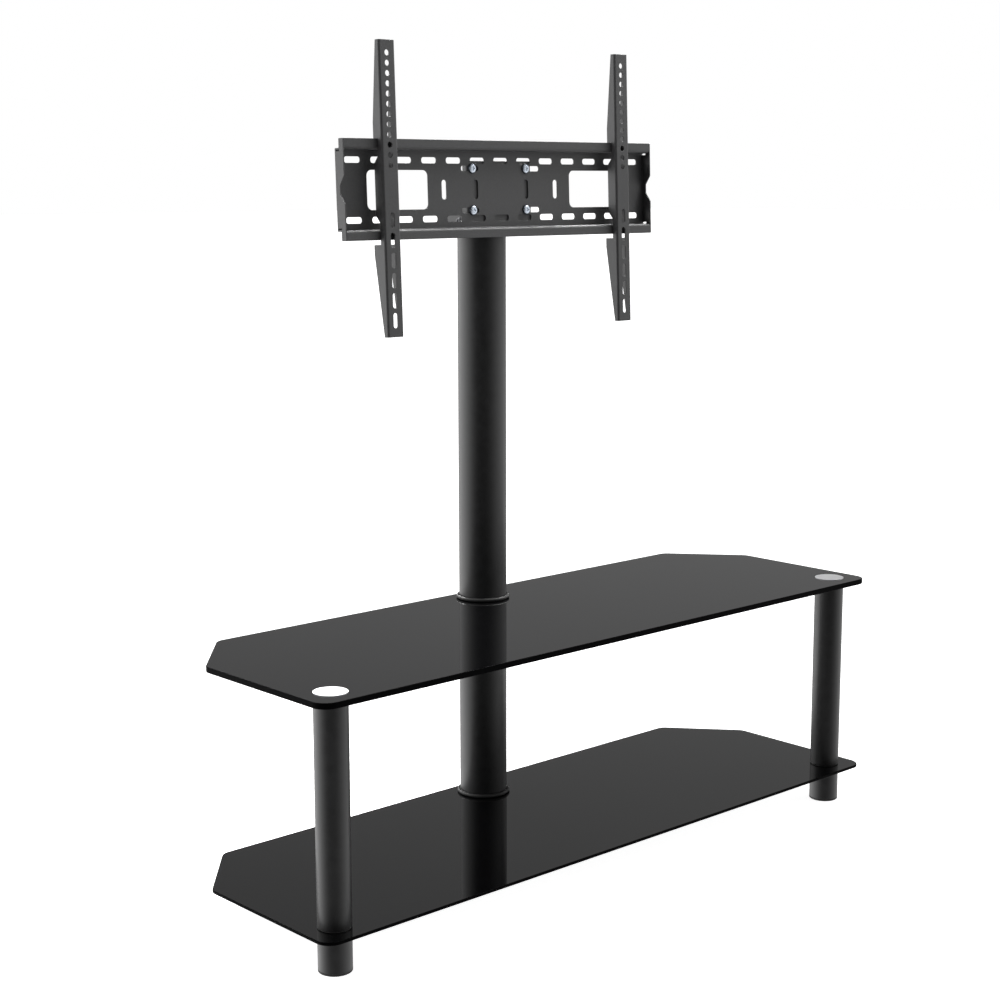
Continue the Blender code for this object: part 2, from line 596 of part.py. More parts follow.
def mount_plate(tilt):
    """Folded sheet: web, top and bottom flanges, lips that the arms hang on, and end walls with a notch."""
    half, inside = PLATE_WIDTH / 2, PLATE_WIDTH / 2 - SHEET
    block = rounded(
        [
            (LIP_FACE, PLATE_RISE - LIP_TOP, BEND_RADIUS),
            (WEB_BACK, PLATE_RISE - LIP_TOP, 0),
            (WEB_BACK, PLATE_RISE + LIP_TOP, 0),
            (LIP_FACE, PLATE_RISE + LIP_TOP, BEND_RADIUS),
        ]
    )
    plate = place(extruded("mount_plate", [block], -half, half, "X"), PLATE_COAT, parent=tilt)
    beyond = half + CUT_MARGIN
    behind = WEB_BACK + CUT_MARGIN
    lip_back, ear_back = LIP_FACE + SHEET, LIP_FACE + END_EAR_DEPTH
    for name, low, high in (
        ("upper_lip", PLATE_RISE + FLANGE_TOP, PLATE_RISE + LIP_TOP + CUT_MARGIN),
        ("lower_lip", PLATE_RISE - LIP_TOP - CUT_MARGIN, PLATE_RISE - FLANGE_TOP),
    ):
        for where, front, reach in (("_rear", ear_back, beyond), ("_pocket", lip_back, inside)):
            outline = rectangle(0, (front + behind) / 2, 2 * reach, behind - front)
            cut(plate, place(extruded(name + where, [outline], low, high, "Z"), None, parent=tilt))
    deep = WEB_FACE - LIP_FACE + CUT_MARGIN
    recess = rectangle(WEB_FACE - deep / 2, PLATE_RISE, deep, 2 * (FLANGE_TOP - SHEET))
    cut(plate, place(extruded("plate_recess", [recess], -inside, inside, "X"), None, parent=tilt))
    slope = (NOTCH_MOUTH - NOTCH_FLOOR) / 2 / NOTCH_DEPTH
    mouth = NOTCH_MOUTH / 2 + slope * CUT_MARGIN
    floor = LIP_FACE + NOTCH_DEPTH
    notch = [(LIP_FACE - CUT_MARGIN, PLATE_RISE - mouth), (floor, PLATE_RISE - NOTCH_FLOOR / 2)]
    notch += [(u, 2 * PLATE_RISE - v) for u, v in reversed(notch)]
    cut(plate, place(extruded("end_wall_notches", [notch], -beyond, beyond, "X"), None, parent=tilt))
    relief_z = FLANGE_TOP - SHEET - RELIEF_INSET - RELIEF_HEIGHT / 2
    relief_y = WEB_FACE - RELIEF_INSET - RELIEF_LENGTH / 2
    relief = (RELIEF_LENGTH, RELIEF_HEIGHT, RELIEF_CORNER)
    reliefs = [rectangle(relief_y, PLATE_RISE + rise, *relief) for rise in (-relief_z, relief_z)]
    cut(plate, place(extruded("end_wall_reliefs", reliefs, -beyond, beyond, "X"), None, parent=tilt))
    slots = extruded("plate_slots", list(plate_openings()), WEB_FACE - SHEET, WEB_BACK + SHEET, "Y")
    cut(plate, place(slots, None, parent=tilt))


def mount_screws(tilt):
    """Pan-head screws through the slots of the plate into the bracket."""
    head, shank = SCREW_HEAD_DIAMETER / 2, SCREW_DIAMETER / 2
    seat = -WEB_FACE + GAP
    top = seat + SCREW_HEAD_HEIGHT
    end = HEAD_FACE_AHEAD - HEAD_SHEET - SCREW_POINT
    dome = [(head * sin(a), seat + SCREW_HEAD_HEIGHT * cos(a) ** 0.6) for a in (0, pi / 6, pi / 3, pi / 2.2)]
    profile = [*dome, (head, seat), (shank, seat), (shank, end), (0, end)]
    for name, x, z in screw_places():
        place(turned(name, profile, SMALL_ROUND_STEPS), SCREW_ZINC, (x, 0, z), tilt, (pi / 2, 0, 0))


def arm_outline():
    """Side view of an arm: tapered flanges, a hook over the upper lip and a notch for the lower one."""
    front, notch = ARM_FACE, LIP_FACE - GAP
    hook = LIP_FACE + SHEET + ARM_HOOK_SLACK
    upper, lower, inner = front + ARM_UPPER_DEPTH, front + ARM_LOWER_DEPTH, front + ARM_INNER_DEPTH
    tip = front + ARM_TIP_DEPTH
    hang = LIP_TOP + GAP
    neck = ARM_INNER_HALF + ARM_INNER_CHAMFER
    side = [
        (front, ARM_ABOVE),
        (tip, ARM_ABOVE),
        (upper, ARM_UPPER_TAPER_END),
        (upper, hang - ARM_HOOK_DROP),
        (hook, hang - ARM_HOOK_DROP),
        (hook, hang),
        (notch, hang),
        (notch, neck),
        (inner, ARM_INNER_HALF),
        (inner, -ARM_INNER_HALF),
        (notch, -neck),
        (notch, -LIP_TOP - ARM_LIFT_ROOM),
        (lower, -LIP_TOP - ARM_LIFT_ROOM),
        (lower, -ARM_LOWER_TAPER_END),
        (tip, -ARM_BELOW),
        (front, -ARM_BELOW),
    ]
    return [(u, PLATE_RISE + v) for u, v in side]


def arm_openings():
    """Outlines of the row of holes above and the row of slots below."""
    for k in range(ARM_HOLES):
        drop = ARM_HOLE_FROM_TOP + k * ARM_HOLE_PITCH
        yield circle(0, PLATE_RISE + ARM_ABOVE - drop, ARM_HOLE_DIAMETER)
    for k in range(ARM_SLOTS):
        middle = PLATE_RISE - ARM_BELOW + ARM_SLOT_FROM_BOTTOM + k * ARM_SLOT_PITCH
        yield rectangle(0, middle, ARM_SLOT_WIDTH, ARM_SLOT_LENGTH, ARM_SLOT_CORNER)


def arm(side, sign, tilt):
    """Perforated channel that hangs on the lips and slides along them."""
    slide = bpy.data.objects.new(side + "_arm_slide", None)
    PARTS.objects.link(slide)
    slide.parent = tilt
    slide.location = (sign * ARM_SPACING / 2 + ARM_SHIFT, 0, 0)
    half, inside = ARM_WIDTH / 2, ARM_WIDTH / 2 - ARM_SHEET
    channel = extruded(side + "_arm", [arm_outline()], -half, half, "X")
    place(channel, ARM_COAT, parent=slide)
    deep = ARM_LOWER_DEPTH + CUT_MARGIN
    tall = ARM_ABOVE + ARM_BELOW + 2 * CUT_MARGIN
    middle = PLATE_RISE + (ARM_ABOVE - ARM_BELOW) / 2
    hollow = rectangle(ARM_FACE + ARM_SHEET + deep / 2, middle, deep, tall)
    cut(channel, place(extruded(side + "_arm_channel", [hollow], -inside, inside, "X"), None, parent=slide))
    behind = ARM_FACE + 2 * ARM_SHEET
    holes = extruded(side + "_arm_holes", list(arm_openings()), ARM_FACE - ARM_SHEET, behind, "Y")
    cut(channel, place(holes, None, parent=slide))


def stand():
    shelf("lower_shelf", LOWER_SHELF_BOTTOM, LOWER_SHELF_TOP, POST_ROD_DIAMETER + 2 * HOLE_CLEARANCE)
    shelf("upper_shelf", UPPER_SHELF_BOTTOM, UPPER_SHELF_TOP, CAP_HOLE_DIAMETER)
    rear_column()
    head_yoke()
    for side, sign in (("left", -1), ("right", 1)):
        front_column(side, sign)
        pivot_hardware(side, sign)


def screen_mount():
    tilt = bpy.data.objects.new("tilt_axis", None)
    PARTS.objects.link(tilt)
    tilt.location = (0, PIVOT_Y, PIVOT_Z)
    tilt.rotation_euler = (-LEAN, 0, 0)
    tilt_bracket(tilt)
    mount_plate(tilt)
    mount_screws(tilt)
    for side, sign in (("left", -1), ("right", 1)):
        arm(side, sign, tilt)


stand()
screen_mount()
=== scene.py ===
"""Looks of an open television stand: black glass shelves, lacquered tubes and a folded steel screen mount.

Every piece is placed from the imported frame, in metres, with +X right, +Y back and +Z up.
"""

import json

import bpy
import numpy as np
from bpy.props import FloatProperty, FloatVectorProperty, IntProperty, PointerProperty
from bpy.types import Operator, Panel, PropertyGroup
from mathutils import Matrix, Vector
from mathutils.geometry import delaunay_2d_cdt


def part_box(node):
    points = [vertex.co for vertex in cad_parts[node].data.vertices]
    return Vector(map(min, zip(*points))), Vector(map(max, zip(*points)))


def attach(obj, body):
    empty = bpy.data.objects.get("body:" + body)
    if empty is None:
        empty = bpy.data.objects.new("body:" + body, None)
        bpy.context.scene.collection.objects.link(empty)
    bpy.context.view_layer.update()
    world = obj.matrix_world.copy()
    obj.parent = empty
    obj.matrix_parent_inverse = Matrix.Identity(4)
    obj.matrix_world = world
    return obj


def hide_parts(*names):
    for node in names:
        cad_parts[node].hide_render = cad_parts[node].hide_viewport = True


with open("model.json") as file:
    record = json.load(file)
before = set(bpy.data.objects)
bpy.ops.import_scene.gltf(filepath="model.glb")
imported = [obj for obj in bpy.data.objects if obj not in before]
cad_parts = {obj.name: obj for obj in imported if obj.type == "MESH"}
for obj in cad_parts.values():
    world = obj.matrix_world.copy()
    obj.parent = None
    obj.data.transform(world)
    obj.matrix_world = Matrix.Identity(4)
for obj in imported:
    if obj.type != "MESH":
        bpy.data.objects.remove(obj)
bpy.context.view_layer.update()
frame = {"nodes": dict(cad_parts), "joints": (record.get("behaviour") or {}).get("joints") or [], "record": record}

bl_info = {
    "name": "Television Stand",
    "version": (1, 0, 0),
    "blender": (4, 5, 0),
    "location": "View3D > Sidebar > Stand",
    "description": "Builds a television stand on its packed frame: glass, tubes, screen mount and studio",
    "category": "Object",
}

BODY_OF = {node: body for body, nodes in frame["record"]["behaviour"]["bodies"].items() for node in nodes}
JOINTS = {joint["name"]: joint for joint in frame["joints"]}
MOUNTS = {mount["name"]: mount for mount in frame["record"]["mounts"]}
PIVOT = np.array(JOINTS["screen_tilt"]["pos_m"], float)
ARM_PLACES = {side: np.array(MOUNTS[side + "_arm_face"]["pos_m"], float) for side in ("left", "right")}
FACE_NORMAL = np.array(MOUNTS["right_arm_face"]["axis"], float)
# Rows are the mount's own right, back and up directions in the frame, leaning with its face
LEAN = np.array([[1, 0, 0], -FACE_NORMAL, [0, FACE_NORMAL[2], -FACE_NORMAL[1]]])
UPRIGHT = np.eye(3)
# Where the (across, behind, along) directions of a sheet go when its face looks up, and when it looks down
FACE_UP = np.array([[1.0, 0, 0], [0, 0, -1.0], [0, 1.0, 0]])
FACE_DOWN = np.array([[1.0, 0, 0], [0, 0, 1.0], [0, 1.0, 0]])
SIDES = (("left", -1), ("right", 1))
MM = 0.001
# Air between pieces that touch
GAP = 0.3 * MM
# How far the lines of a bend run past the flat pattern of a sheet
FOLD_MARGIN = 10.0 * MM
# How far the unrolled flanges of the arms and of the tilt head reach behind their faces before they are cut
ARM_REACH = 40.0 * MM
HEAD_REACH = 60.0 * MM
# Points of an outline closer than this are one point
SAME_POINT = 1e-8
# Faces round the heads and rings of the tilt head, and round its friction washers
FASTENER_STEPS = 96
WASHER_STEPS = 64
# Edges with a larger angle than this stay sharp on heads and threads, and on nuts
HEAD_CREASE = np.radians(40)
NUT_CREASE = np.radians(25)


def length(name, default, description):
    return FloatProperty(
        name=name, description=description, default=default, min=0.0, precision=5, unit="LENGTH"
    )


def colour(name, default, description):
    return FloatVectorProperty(
        name=name, description=description, default=default, min=0.0, max=1.0, subtype="COLOR"
    )


def amount(name, default, description, measure="NONE"):
    return FloatProperty(name=name, description=description, default=default, min=0.0, unit=measure)


def number(name, default, description, least=0):
    return IntProperty(name=name, description=description, default=default, min=least)


class StandSizes(PropertyGroup):
    """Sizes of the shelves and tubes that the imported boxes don't give."""

    rear_cut_width: length("Rear cut width", 0.100, "Width of the cut-off rear corners of the shelves")
    rear_cut_depth: length("Rear cut depth", 0.1185, "Depth of the cut-off rear corners of the shelves")
    front_corner: length("Front corner", 0.025, "Radius of the front corners of the shelves")
    rear_corner: length("Rear corner", 0.022, "Radius of the rear corners of the shelves")
    glass_edge: length("Glass edge", 0.0012, "Radius of the polished edges of the glass")
    post_bolt: length("Post bolt", 0.012, "Hole for a post rod in the lower shelf")
    cap_hole: length("Cap hole", 0.020, "Hole for a cap and its bush in the upper shelf")
    pole_bolt: length("Pole bolt", 0.014, "Hole for the pole rod in both shelves")
    post_wall: length("Post wall", 0.002, "Wall of the post and foot tubes")
    pole_wall: length("Pole wall", 0.0025, "Wall of the pole tubes")
    tube_edge: length("Tube edge", 0.0006, "Radius of the cut ends of the tubes")
    collar_lap: length("Collar lap", 0.0048, "How far the collar reaches in under the pole tube")
    collar_land: length("Collar land", 0.001, "Thickness of the collar under the pole tube")
    collar_bead: length("Collar bead", 0.0029, "Radius of the outer edge of the collar bead")
    collar_inner: length("Collar inner edge", 0.0015, "Radius of the inner edge of the collar bead")
    collar_edge: length("Collar edge", 0.00025, "Radius of the edges of the collar under the pole tube")
    gasket_land: length("Gasket land", 0.010, "Width of the gasket rings")
    ring_edge: length("Ring edge", 0.0003, "Radius of the edges of gaskets and bushes")
    cap_disc: length("Cap disc", 0.0006, "Thickness of the disc of a cap")
    cap_edge: length("Cap edge", 0.00025, "Radius of the rim of the caps")
    cap_boss: length("Cap boss", 0.016, "Diameter of the boss under a cap")
    cap_thread: length("Cap thread", 0.0106, "Diameter of the blind hole in the boss of a cap")
    cap_thread_depth: length("Cap thread depth", 0.007, "Depth of the blind hole in the boss of a cap")
    bush_wall: length("Bush wall", 0.0014, "Wall of the bushes round the bosses of the caps")
    pad_flange: length("Pad flange", 0.003, "Thickness of the floor pads below their spigots")
    pad_edge: length("Pad edge", 0.0010, "Radius of the lower rim of the floor pads")
    round_steps: number("Round steps", 128, "Faces round a tube", 24)


class MountSizes(PropertyGroup):
    """Sizes of the folded sheet parts of the screen mount."""

    sheet: length("Sheet", 0.002, "Thickness of the plate")
    arm_sheet: length("Arm sheet", 0.0025, "Thickness of the arms")
    head_sheet: length("Head sheet", 0.004, "Thickness of the tilt bracket and the yoke")
    bend: length("Bend", 0.001, "Inner radius of the folds")
    lip_bend: length("Lip bend", 0.0028, "Inner radius of the folds at the lips")
    cut_edge: length("Cut edge", 0.0003, "Radius of the cut edges")
    plate_rise: length("Plate rise", 0.0496, "Middle of the plate above the pivot")
    plate_depth: length("Plate depth", 0.0202, "Depth of the plate from its lips to its back")
    plate_height: length("Plate height", 0.1522, "Height of the plate over its lips")
    lip_face: length("Lip face", 0.0354, "Front of the lips ahead of the pivot")
    lip_height: length("Lip height", 0.0141, "Height of each lip above its flange")
    end_ear: length("End ear", 0.0106, "Depth of the end walls beside the lips")
    end_corner: length("End corner", 0.0015, "Radius of the corners of the end walls")
    notch_mouth: length("Notch mouth", 0.0426, "Height of the notch at the front of an end wall")
    notch_floor: length("Notch floor", 0.014, "Height of the notch at its floor")
    notch_depth: length("Notch depth", 0.0102, "Depth of the notch of an end wall")
    slot_pitch: length("Slot pitch", 0.0505, "Distance from slot to slot")
    slot_length: length("Slot length", 0.0305, "Length of the wall slots")
    slot_height: length("Slot height", 0.0096, "Height of the wall slots")
    slot_corner: length("Slot corner", 0.0040, "Corner radius of the wall slots")
    slot_rise: length("Slot rise", 0.0453, "Rows of slots above and below the middle")
    slots_each_side: number("Slots", 6, "Slots on each side of the middle one")
    window_spacing: length("Window spacing", 0.4308, "Distance between the middles of the windows")
    window_length: length("Window length", 0.1218, "Length of a window")
    window_height: length("Window height", 0.0604, "Height of a window")
    window_corner: length("Window corner", 0.009, "Corner radius of a window")
    side_slot_spacing: length("Side slot spacing", 0.243, "Distance between the outer upright slots")
    centre_slot_spacing: length("Centre slot spacing", 0.110, "Distance between the inner upright slots")
    upright_slot_width: length("Upright slot width", 0.0098, "Width of the upright slots")
    upright_slot_height: length("Upright slot height", 0.0306, "Height of the upright slots")
    upright_slot_corner: length("Upright slot corner", 0.004508, "Corner radius of the upright slots")
    relief_length: length("Relief length", 0.0085, "Length of the reliefs in the end walls")
    relief_height: length("Relief height", 0.0026, "Height of the reliefs in the end walls")
    relief_corner: length("Relief corner", 0.001235, "Corner radius of the reliefs in the end walls")
    relief_inset: length("Relief inset", 0.0003, "Reliefs from the web and the flanges")
    screw_slot_length: length("Screw slot length", 0.036, "Length of the slots that the screws pass through")
    screw_slot_height: length("Screw slot height", 0.0085, "Height of the slots that the screws pass through")
    screw_slot_corner: length("Screw slot corner", 0.00357, "Corner radius of the screw slots")
    screw_slot_spacing: length("Screw slot spacing", 0.134, "Distance between the middles of the screw slots")
    screw_head: length("Screw head", 0.0138, "Diameter of the heads of the plate screws")
    screw_dome: length("Screw dome", 0.0025, "Height of the heads of the plate screws")
    screw_shank: length("Screw shank", 0.006, "Diameter of the shanks of the plate screws")
    screw_run: length("Screw run", 0.0086, "Length of the shanks of the plate screws")
    screw_pitch: length("Screw pitch", 0.001, "Pitch of the threads of the plate screws")
    screw_hole: length("Screw hole", 0.0066, "Holes for the plate screws in the tilt bracket")
    recess_width: length("Recess width", 0.0015, "Width of the bars of a cross recess")
    recess_run: length("Recess run", 0.0062, "Length of the bars of a cross recess")
    recess_depth: length("Recess depth", 0.0017, "Depth of a cross recess")
    recess_slope: length("Recess slope", 0.00035, "Width of the slope at the sides of a cross recess")
    washer: length("Washer", 0.016, "Diameter of the washers held under the screw heads")
    washer_sheet: length("Washer sheet", 0.0012, "Thickness of the washers held under the screw heads")
    arm_width: length("Arm width", 0.0315, "Width of an arm")
    arm_above: length("Arm above", 0.2217, "Top of an arm above the middle of the plate")
    arm_below: length("Arm below", 0.2238, "Foot of an arm below the middle of the plate")
    arm_tip_depth: length("Arm tip depth", 0.009, "Depth of the flanges of an arm at its ends")
    arm_upper_depth: length("Arm upper depth", 0.0205, "Depth of the flanges above the plate")
    arm_upper_taper: length("Arm upper taper", 0.100, "Height where the upper taper starts")
    arm_lower_depth: length("Arm lower depth", 0.0268, "Depth of the flanges below the plate")
    arm_lower_taper: length("Arm lower taper", 0.098, "Drop where the lower taper starts")
    arm_lobe_depth: length("Arm lobe depth", 0.0199, "Depth of the lobes between the lips of the plate")
    arm_lobe_half: length("Arm lobe half", 0.0395, "Half height of the lobes at their full depth")
    arm_neck_half: length("Arm neck half", 0.0505, "Half height of the lobes where they start")
    arm_lift_room: length("Arm lift room", 0.007, "Room below the lower lip, for lifting the arm off")
    arm_hook_drop: length("Arm hook drop", 0.011, "How far the hook reaches down behind the upper lip")
    arm_hook_slack: length("Arm hook slack", 0.001, "Room between the hook and the upper lip")
    arm_hole: length("Arm hole", 0.009, "Diameter of the round holes of an arm")
    arm_holes: number("Arm holes", 12, "Round holes of an arm")
    arm_hole_from_top: length("Arm hole from top", 0.0189, "First round hole below the top of an arm")
    arm_hole_pitch: length("Arm hole pitch", 0.01515, "Distance from hole to hole")
    arm_slots: number("Arm slots", 6, "Slots of an arm")
    arm_slot_from_foot: length("Arm slot from foot", 0.0254, "Lowest slot above the foot of an arm")
    arm_slot_width: length("Arm slot width", 0.0085, "Width of the slots of an arm")
    arm_slot_length: length("Arm slot length", 0.0233, "Length of the slots of an arm")
    arm_slot_corner: length("Arm slot corner", 0.00391, "Corner radius of the slots of an arm")
    arm_slot_pitch: length("Arm slot pitch", 0.0304, "Distance from slot to slot of an arm")
    head_width: length("Head width", 0.140, "Width of the tilt bracket")
    head_top: length("Head top", 0.0946, "Top of the tilt bracket above the pivot")
    head_face: length("Head face", 0.0149, "Front of the tilt bracket ahead of the pivot")
    head_waist: length("Head waist", 0.012, "Depth of the ears of the tilt bracket above the pivot")
    head_waist_rise: length("Head waist rise", 0.034, "Height above the pivot where that depth starts")
    head_corner: length("Head corner", 0.006, "Radius of the corners of the ears")
    lobe: length("Lobe", 0.012, "Reach of the ears and cheeks round the pivot")
    lobe_foot: length("Lobe foot", 0.0114, "Radius of the ears behind and below the pivot")
    lobe_back: length("Lobe back", 0.0084, "Radius of the ears behind and above the pivot")
    cheek_nose: length("Cheek nose", 0.01176, "Radius of the cheeks in front of the pivot")
    yoke_tail: length("Yoke tail", 0.008, "Height of the cheeks of the yoke at their back")
    yoke_crest: length("Yoke crest", 0.024, "How far the cheeks keep their height behind the pivot")
    yoke_corner: length("Yoke corner", 0.005, "Radius of the rear corners of the cheeks")
    pivot_hole: length("Pivot hole", 0.0086, "Holes for the pivot bolts")
    pivot_head: length("Pivot head", 0.013, "Diameter of the heads of the pivot bolts")
    pivot_dome: length("Pivot dome", 0.005, "Height of the heads of the pivot bolts")
    pivot_shank: length("Pivot shank", 0.008, "Diameter of the shanks of the pivot bolts")
    pivot_pitch: length("Pivot pitch", 0.00125, "Pitch of the threads of the pivot bolts")
    nut_across: length("Nut across", 0.013, "Width of the pivot nuts across their flats")
    friction_washer: length("Friction washer", 0.022, "Diameter of the friction washers")
    friction_edge: length("Friction edge", 0.0002, "Radius of the edges of the friction washers")
    spigot_wall: length("Spigot wall", 0.003, "Wall of the ring that holds the yoke in the pole")


class StandFinishes(PropertyGroup):
    """Base colours of the finishes."""

    glass: colour("Glass", (0.0016, 0.0016, 0.0018), "Black glass of the shelves")
    lacquer: colour("Lacquer", (0.0110, 0.0110, 0.0114), "Satin lacquer of the tubes")
    coat: colour("Powder coat", (0.030, 0.030, 0.031), "Powder coat of the screen mount")
    cap: colour("Cap", (0.70, 0.70, 0.71), "Bright satin metal of the caps")
    collar: colour("Collar", (0.012, 0.012, 0.012), "Satin black of the pole collars")
    rubber: colour("Rubber", (0.010, 0.010, 0.010), "Gaskets between tubes and glass")
    pad: colour("Pad", (0.008, 0.008, 0.008), "Floor pads")
    zinc: colour("Zinc", (0.52, 0.57, 0.64), "Zinc of the screw heads")
    # Near black for the screw washers and threads: painted shade where the slots beside and under the heads lie in
    # shadow
    painted_shade: colour("Blued steel", (0.030, 0.035, 0.044), "Washers and threads of the screws")
    dark_steel: colour("Dark steel", (0.10, 0.10, 0.105), "Blackened steel of the pivot bolts and nuts")
    steel: colour("Steel", (0.40, 0.40, 0.41), "Plain steel of the rods and inserts")
    fibre: colour("Fibre", (0.26, 0.22, 0.16), "Friction washers")


class StudioSettings(PropertyGroup):
    """Floor, light and camera."""

    floor: colour("Floor", (0.82, 0.82, 0.82), "Pale floor")
    floor_emission: amount("Floor emission", 0.9, "How much the floor glows by itself")
    surround: amount("Surround", 0.06, "Brightness of the studio away from its lights")
    flag: amount("Flag", 0.273, "Brightness behind the object that the glass mirrors")
    left_glow: amount("Left glow", 3.25, "Brightness of the wide light on the left")
    right_glow: amount("Right glow", 1.3, "Brightness of the wide light on the right")
    ceiling_glow: amount("Ceiling glow", 0.4, "Brightness of the wide light overhead")
    floor_glow: amount("Floor glow", 1.8, "Brightness of the light from below")
    top_light: amount("Top light", 60.0, "Power of the softbox overhead", "POWER")
    back_light: amount("Back light", 4.5, "Power of the gridded softbox high behind the object", "POWER")
    strip_light: amount("Strip light", 9.4, "Power of the strip high on the right", "POWER")
    rim_light: amount("Rim light", 2.0, "Power of the narrow beam from behind that reaches the lips", "POWER")
    lens: amount("Lens", 67.19, "Focal length in millimetres", "CAMERA")


def unit(vectors):
    """Vectors divided by their lengths."""
    return vectors / np.linalg.norm(vectors, axis=-1, keepdims=True)


def filleted(corners, steps, closed):
    """Points and right-hand normals of straight runs joined by arcs.

    A corner is (a, b, radius). The arc at it starts before the corner by radius times the tangent of half the
    turn and swings the heading through the turn about a centre one radius to the side. Points that coincide
    are dropped.
    """
    corners = np.asarray(corners, float)
    places, radii = corners[:, :2], corners[:, 2]
    ahead = np.roll(places, -1, axis=0) - places
    before, after = np.roll(ahead, 1, axis=0), ahead
    if not closed:
        before, after = before.copy(), after.copy()
        before[0], after[-1] = after[0], before[-1]
    before, after = unit(before), unit(after)
    turn = np.arctan2(before[:, 0] * after[:, 1] - before[:, 1] * after[:, 0], (before * after).sum(1))
    angle = turn[:, None] * np.linspace(0, 1, steps + 1)
    cos, sin = np.cos(angle), np.sin(angle)
    heading = np.stack(
        [before[:, :1] * cos - before[:, 1:] * sin, before[:, :1] * sin + before[:, 1:] * cos], axis=-1
    )
    swing = (np.sign(turn) * radii)[:, None]
    left = np.stack([-before[:, 1], before[:, 0]], axis=1)
    centre = places - before * (radii * np.tan(np.abs(turn) / 2))[:, None] + left * swing
    left = np.stack([-heading[..., 1], heading[..., 0]], axis=-1)
    points = (centre[:, None] - left * swing[..., None]).reshape(-1, 2)
    normals = -left.reshape(-1, 2)
    apart = np.linalg.norm(points - np.roll(points, 1, axis=0), axis=1) > SAME_POINT
    apart[0] = apart[0] or not closed
    return points[apart], normals[apart]


class Section:
    """Cross-section of a sheet, unrolled: u is the length along its face, on the right of the path.

    Both ends run on straight, so that a pattern may be wider than the section.
    """

    RUN_ON = 50.0 * MM

    def __init__(self, corners, start=0.0, steps=6):
        points, normals = filleted(corners, steps, closed=False)
        step = np.diff(points, axis=0)
        u = start + np.concatenate([[0.0], np.cumsum(np.linalg.norm(step, axis=1))])
        first, last = unit(step[0]), unit(step[-1])
        self.points = np.vstack([points[0] - first * self.RUN_ON, points, points[-1] + last * self.RUN_ON])
        self.normals = np.vstack([normals[0], normals, normals[-1]])
        self.u = np.concatenate([[u[0] - self.RUN_ON], u, [u[-1] + self.RUN_ON]])
        self.bends = u[1:-1]
        self.middle = (u[0] + u[-1]) / 2
        self.end = u[-1]

    def at(self, u):
        """Points and normals of the face at u, on straight lines between the points of the section."""
        place = np.stack([np.interp(u, self.u, column) for column in self.points.T], axis=1)
        normal = np.stack([np.interp(u, self.u, column) for column in self.normals.T], axis=1)
        return place, unit(normal)


def slot(u, v, width, height, corner):
    """Corners of a rounded rectangle about (u, v)."""
    a, b = width / 2, height / 2
    return [(u - a, v - b, corner), (u + a, v - b, corner), (u + a, v + b, corner), (u - a, v + b, corner)]


def round_hole(u, v, diameter):
    """A square whose corners are rounded by half its side, which is a circle."""
    return slot(u, v, diameter, diameter, diameter / 2)


def shifted_loop(corners, shift, steps):
    """Points of a closed outline moved outwards by shift along its normals."""
    points, normals = filleted(corners, steps, closed=True)
    ahead = np.roll(points, -1, axis=0)
    turns_left = (points[:, 0] * ahead[:, 1] - points[:, 1] * ahead[:, 0]).sum() > 0
    return points + normals * (shift if turns_left else -shift)


def enclosed(points, loops):
    """True where a point has an odd number of loop edges to its right."""
    crossings = np.zeros(len(points), int)
    for loop in loops:
        a, b = loop[None], np.roll(loop, -1, axis=0)[None]
        p = points[:, None]
        spans = (a[..., 1] > p[..., 1]) != (b[..., 1] > p[..., 1])
        rise = np.where(spans, b[..., 1] - a[..., 1], 1.0)
        at = a[..., 0] + (p[..., 1] - a[..., 1]) / rise * (b[..., 0] - a[..., 0])
        crossings += (spans & (p[..., 0] < at)).sum(1)
    return crossings % 2 == 1


def loop_edges(start, count):
    """Pairs of neighbouring points round a loop of count points whose first one is start."""
    at = np.arange(count)
    return start + np.stack([at, (at + 1) % count], axis=1)


def flat_pattern(loops, bends):
    """Triangles of the flat sheet between its outline and its holes, with edges along the lines of a bend."""
    every = np.vstack(loops)
    low, high = every[:, 1].min() - FOLD_MARGIN, every[:, 1].max() + FOLD_MARGIN
    folds = np.stack([np.repeat(bends, 2), np.tile([low, high], len(bends))], axis=1)
    starts = np.cumsum([0] + [len(loop) for loop in loops])
    edges = [loop_edges(start, len(loop)) for start, loop in zip(starts, loops)]
    edges.append(starts[-1] + np.arange(2 * len(bends)).reshape(-1, 2))
    points = np.vstack([every, folds]) / MM
    merged_within, sliver = 1e-5, 1e-12
    made = delaunay_2d_cdt([Vector(p) for p in points], np.vstack(edges).tolist(), [], 0, merged_within)
    points, triangles = np.array(made[0]) * MM, np.array(made[2])
    a, b, c = (points[triangles[:, k]] for k in range(3))
    area = (b[:, 0] - a[:, 0]) * (c[:, 1] - a[:, 1]) - (b[:, 1] - a[:, 1]) * (c[:, 0] - a[:, 0])
    triangles = np.where(area[:, None] < 0, triangles[:, ::-1], triangles)
    keep = enclosed(points[triangles].mean(1), loops) & (np.abs(area) > sliver)
    used, triangles = np.unique(triangles[keep], return_inverse=True)
    return points[used], triangles.reshape(-1, 3)


def open_edges(triangles, count):
    """Edges that only one triangle has, in its own direction."""
    edges = np.concatenate([triangles[:, [0, 1]], triangles[:, [1, 2]], triangles[:, [2, 0]]])
    key, back = edges[:, 0] * count + edges[:, 1], edges[:, 1] * count + edges[:, 0]
    return edges[~np.isin(key, back)]


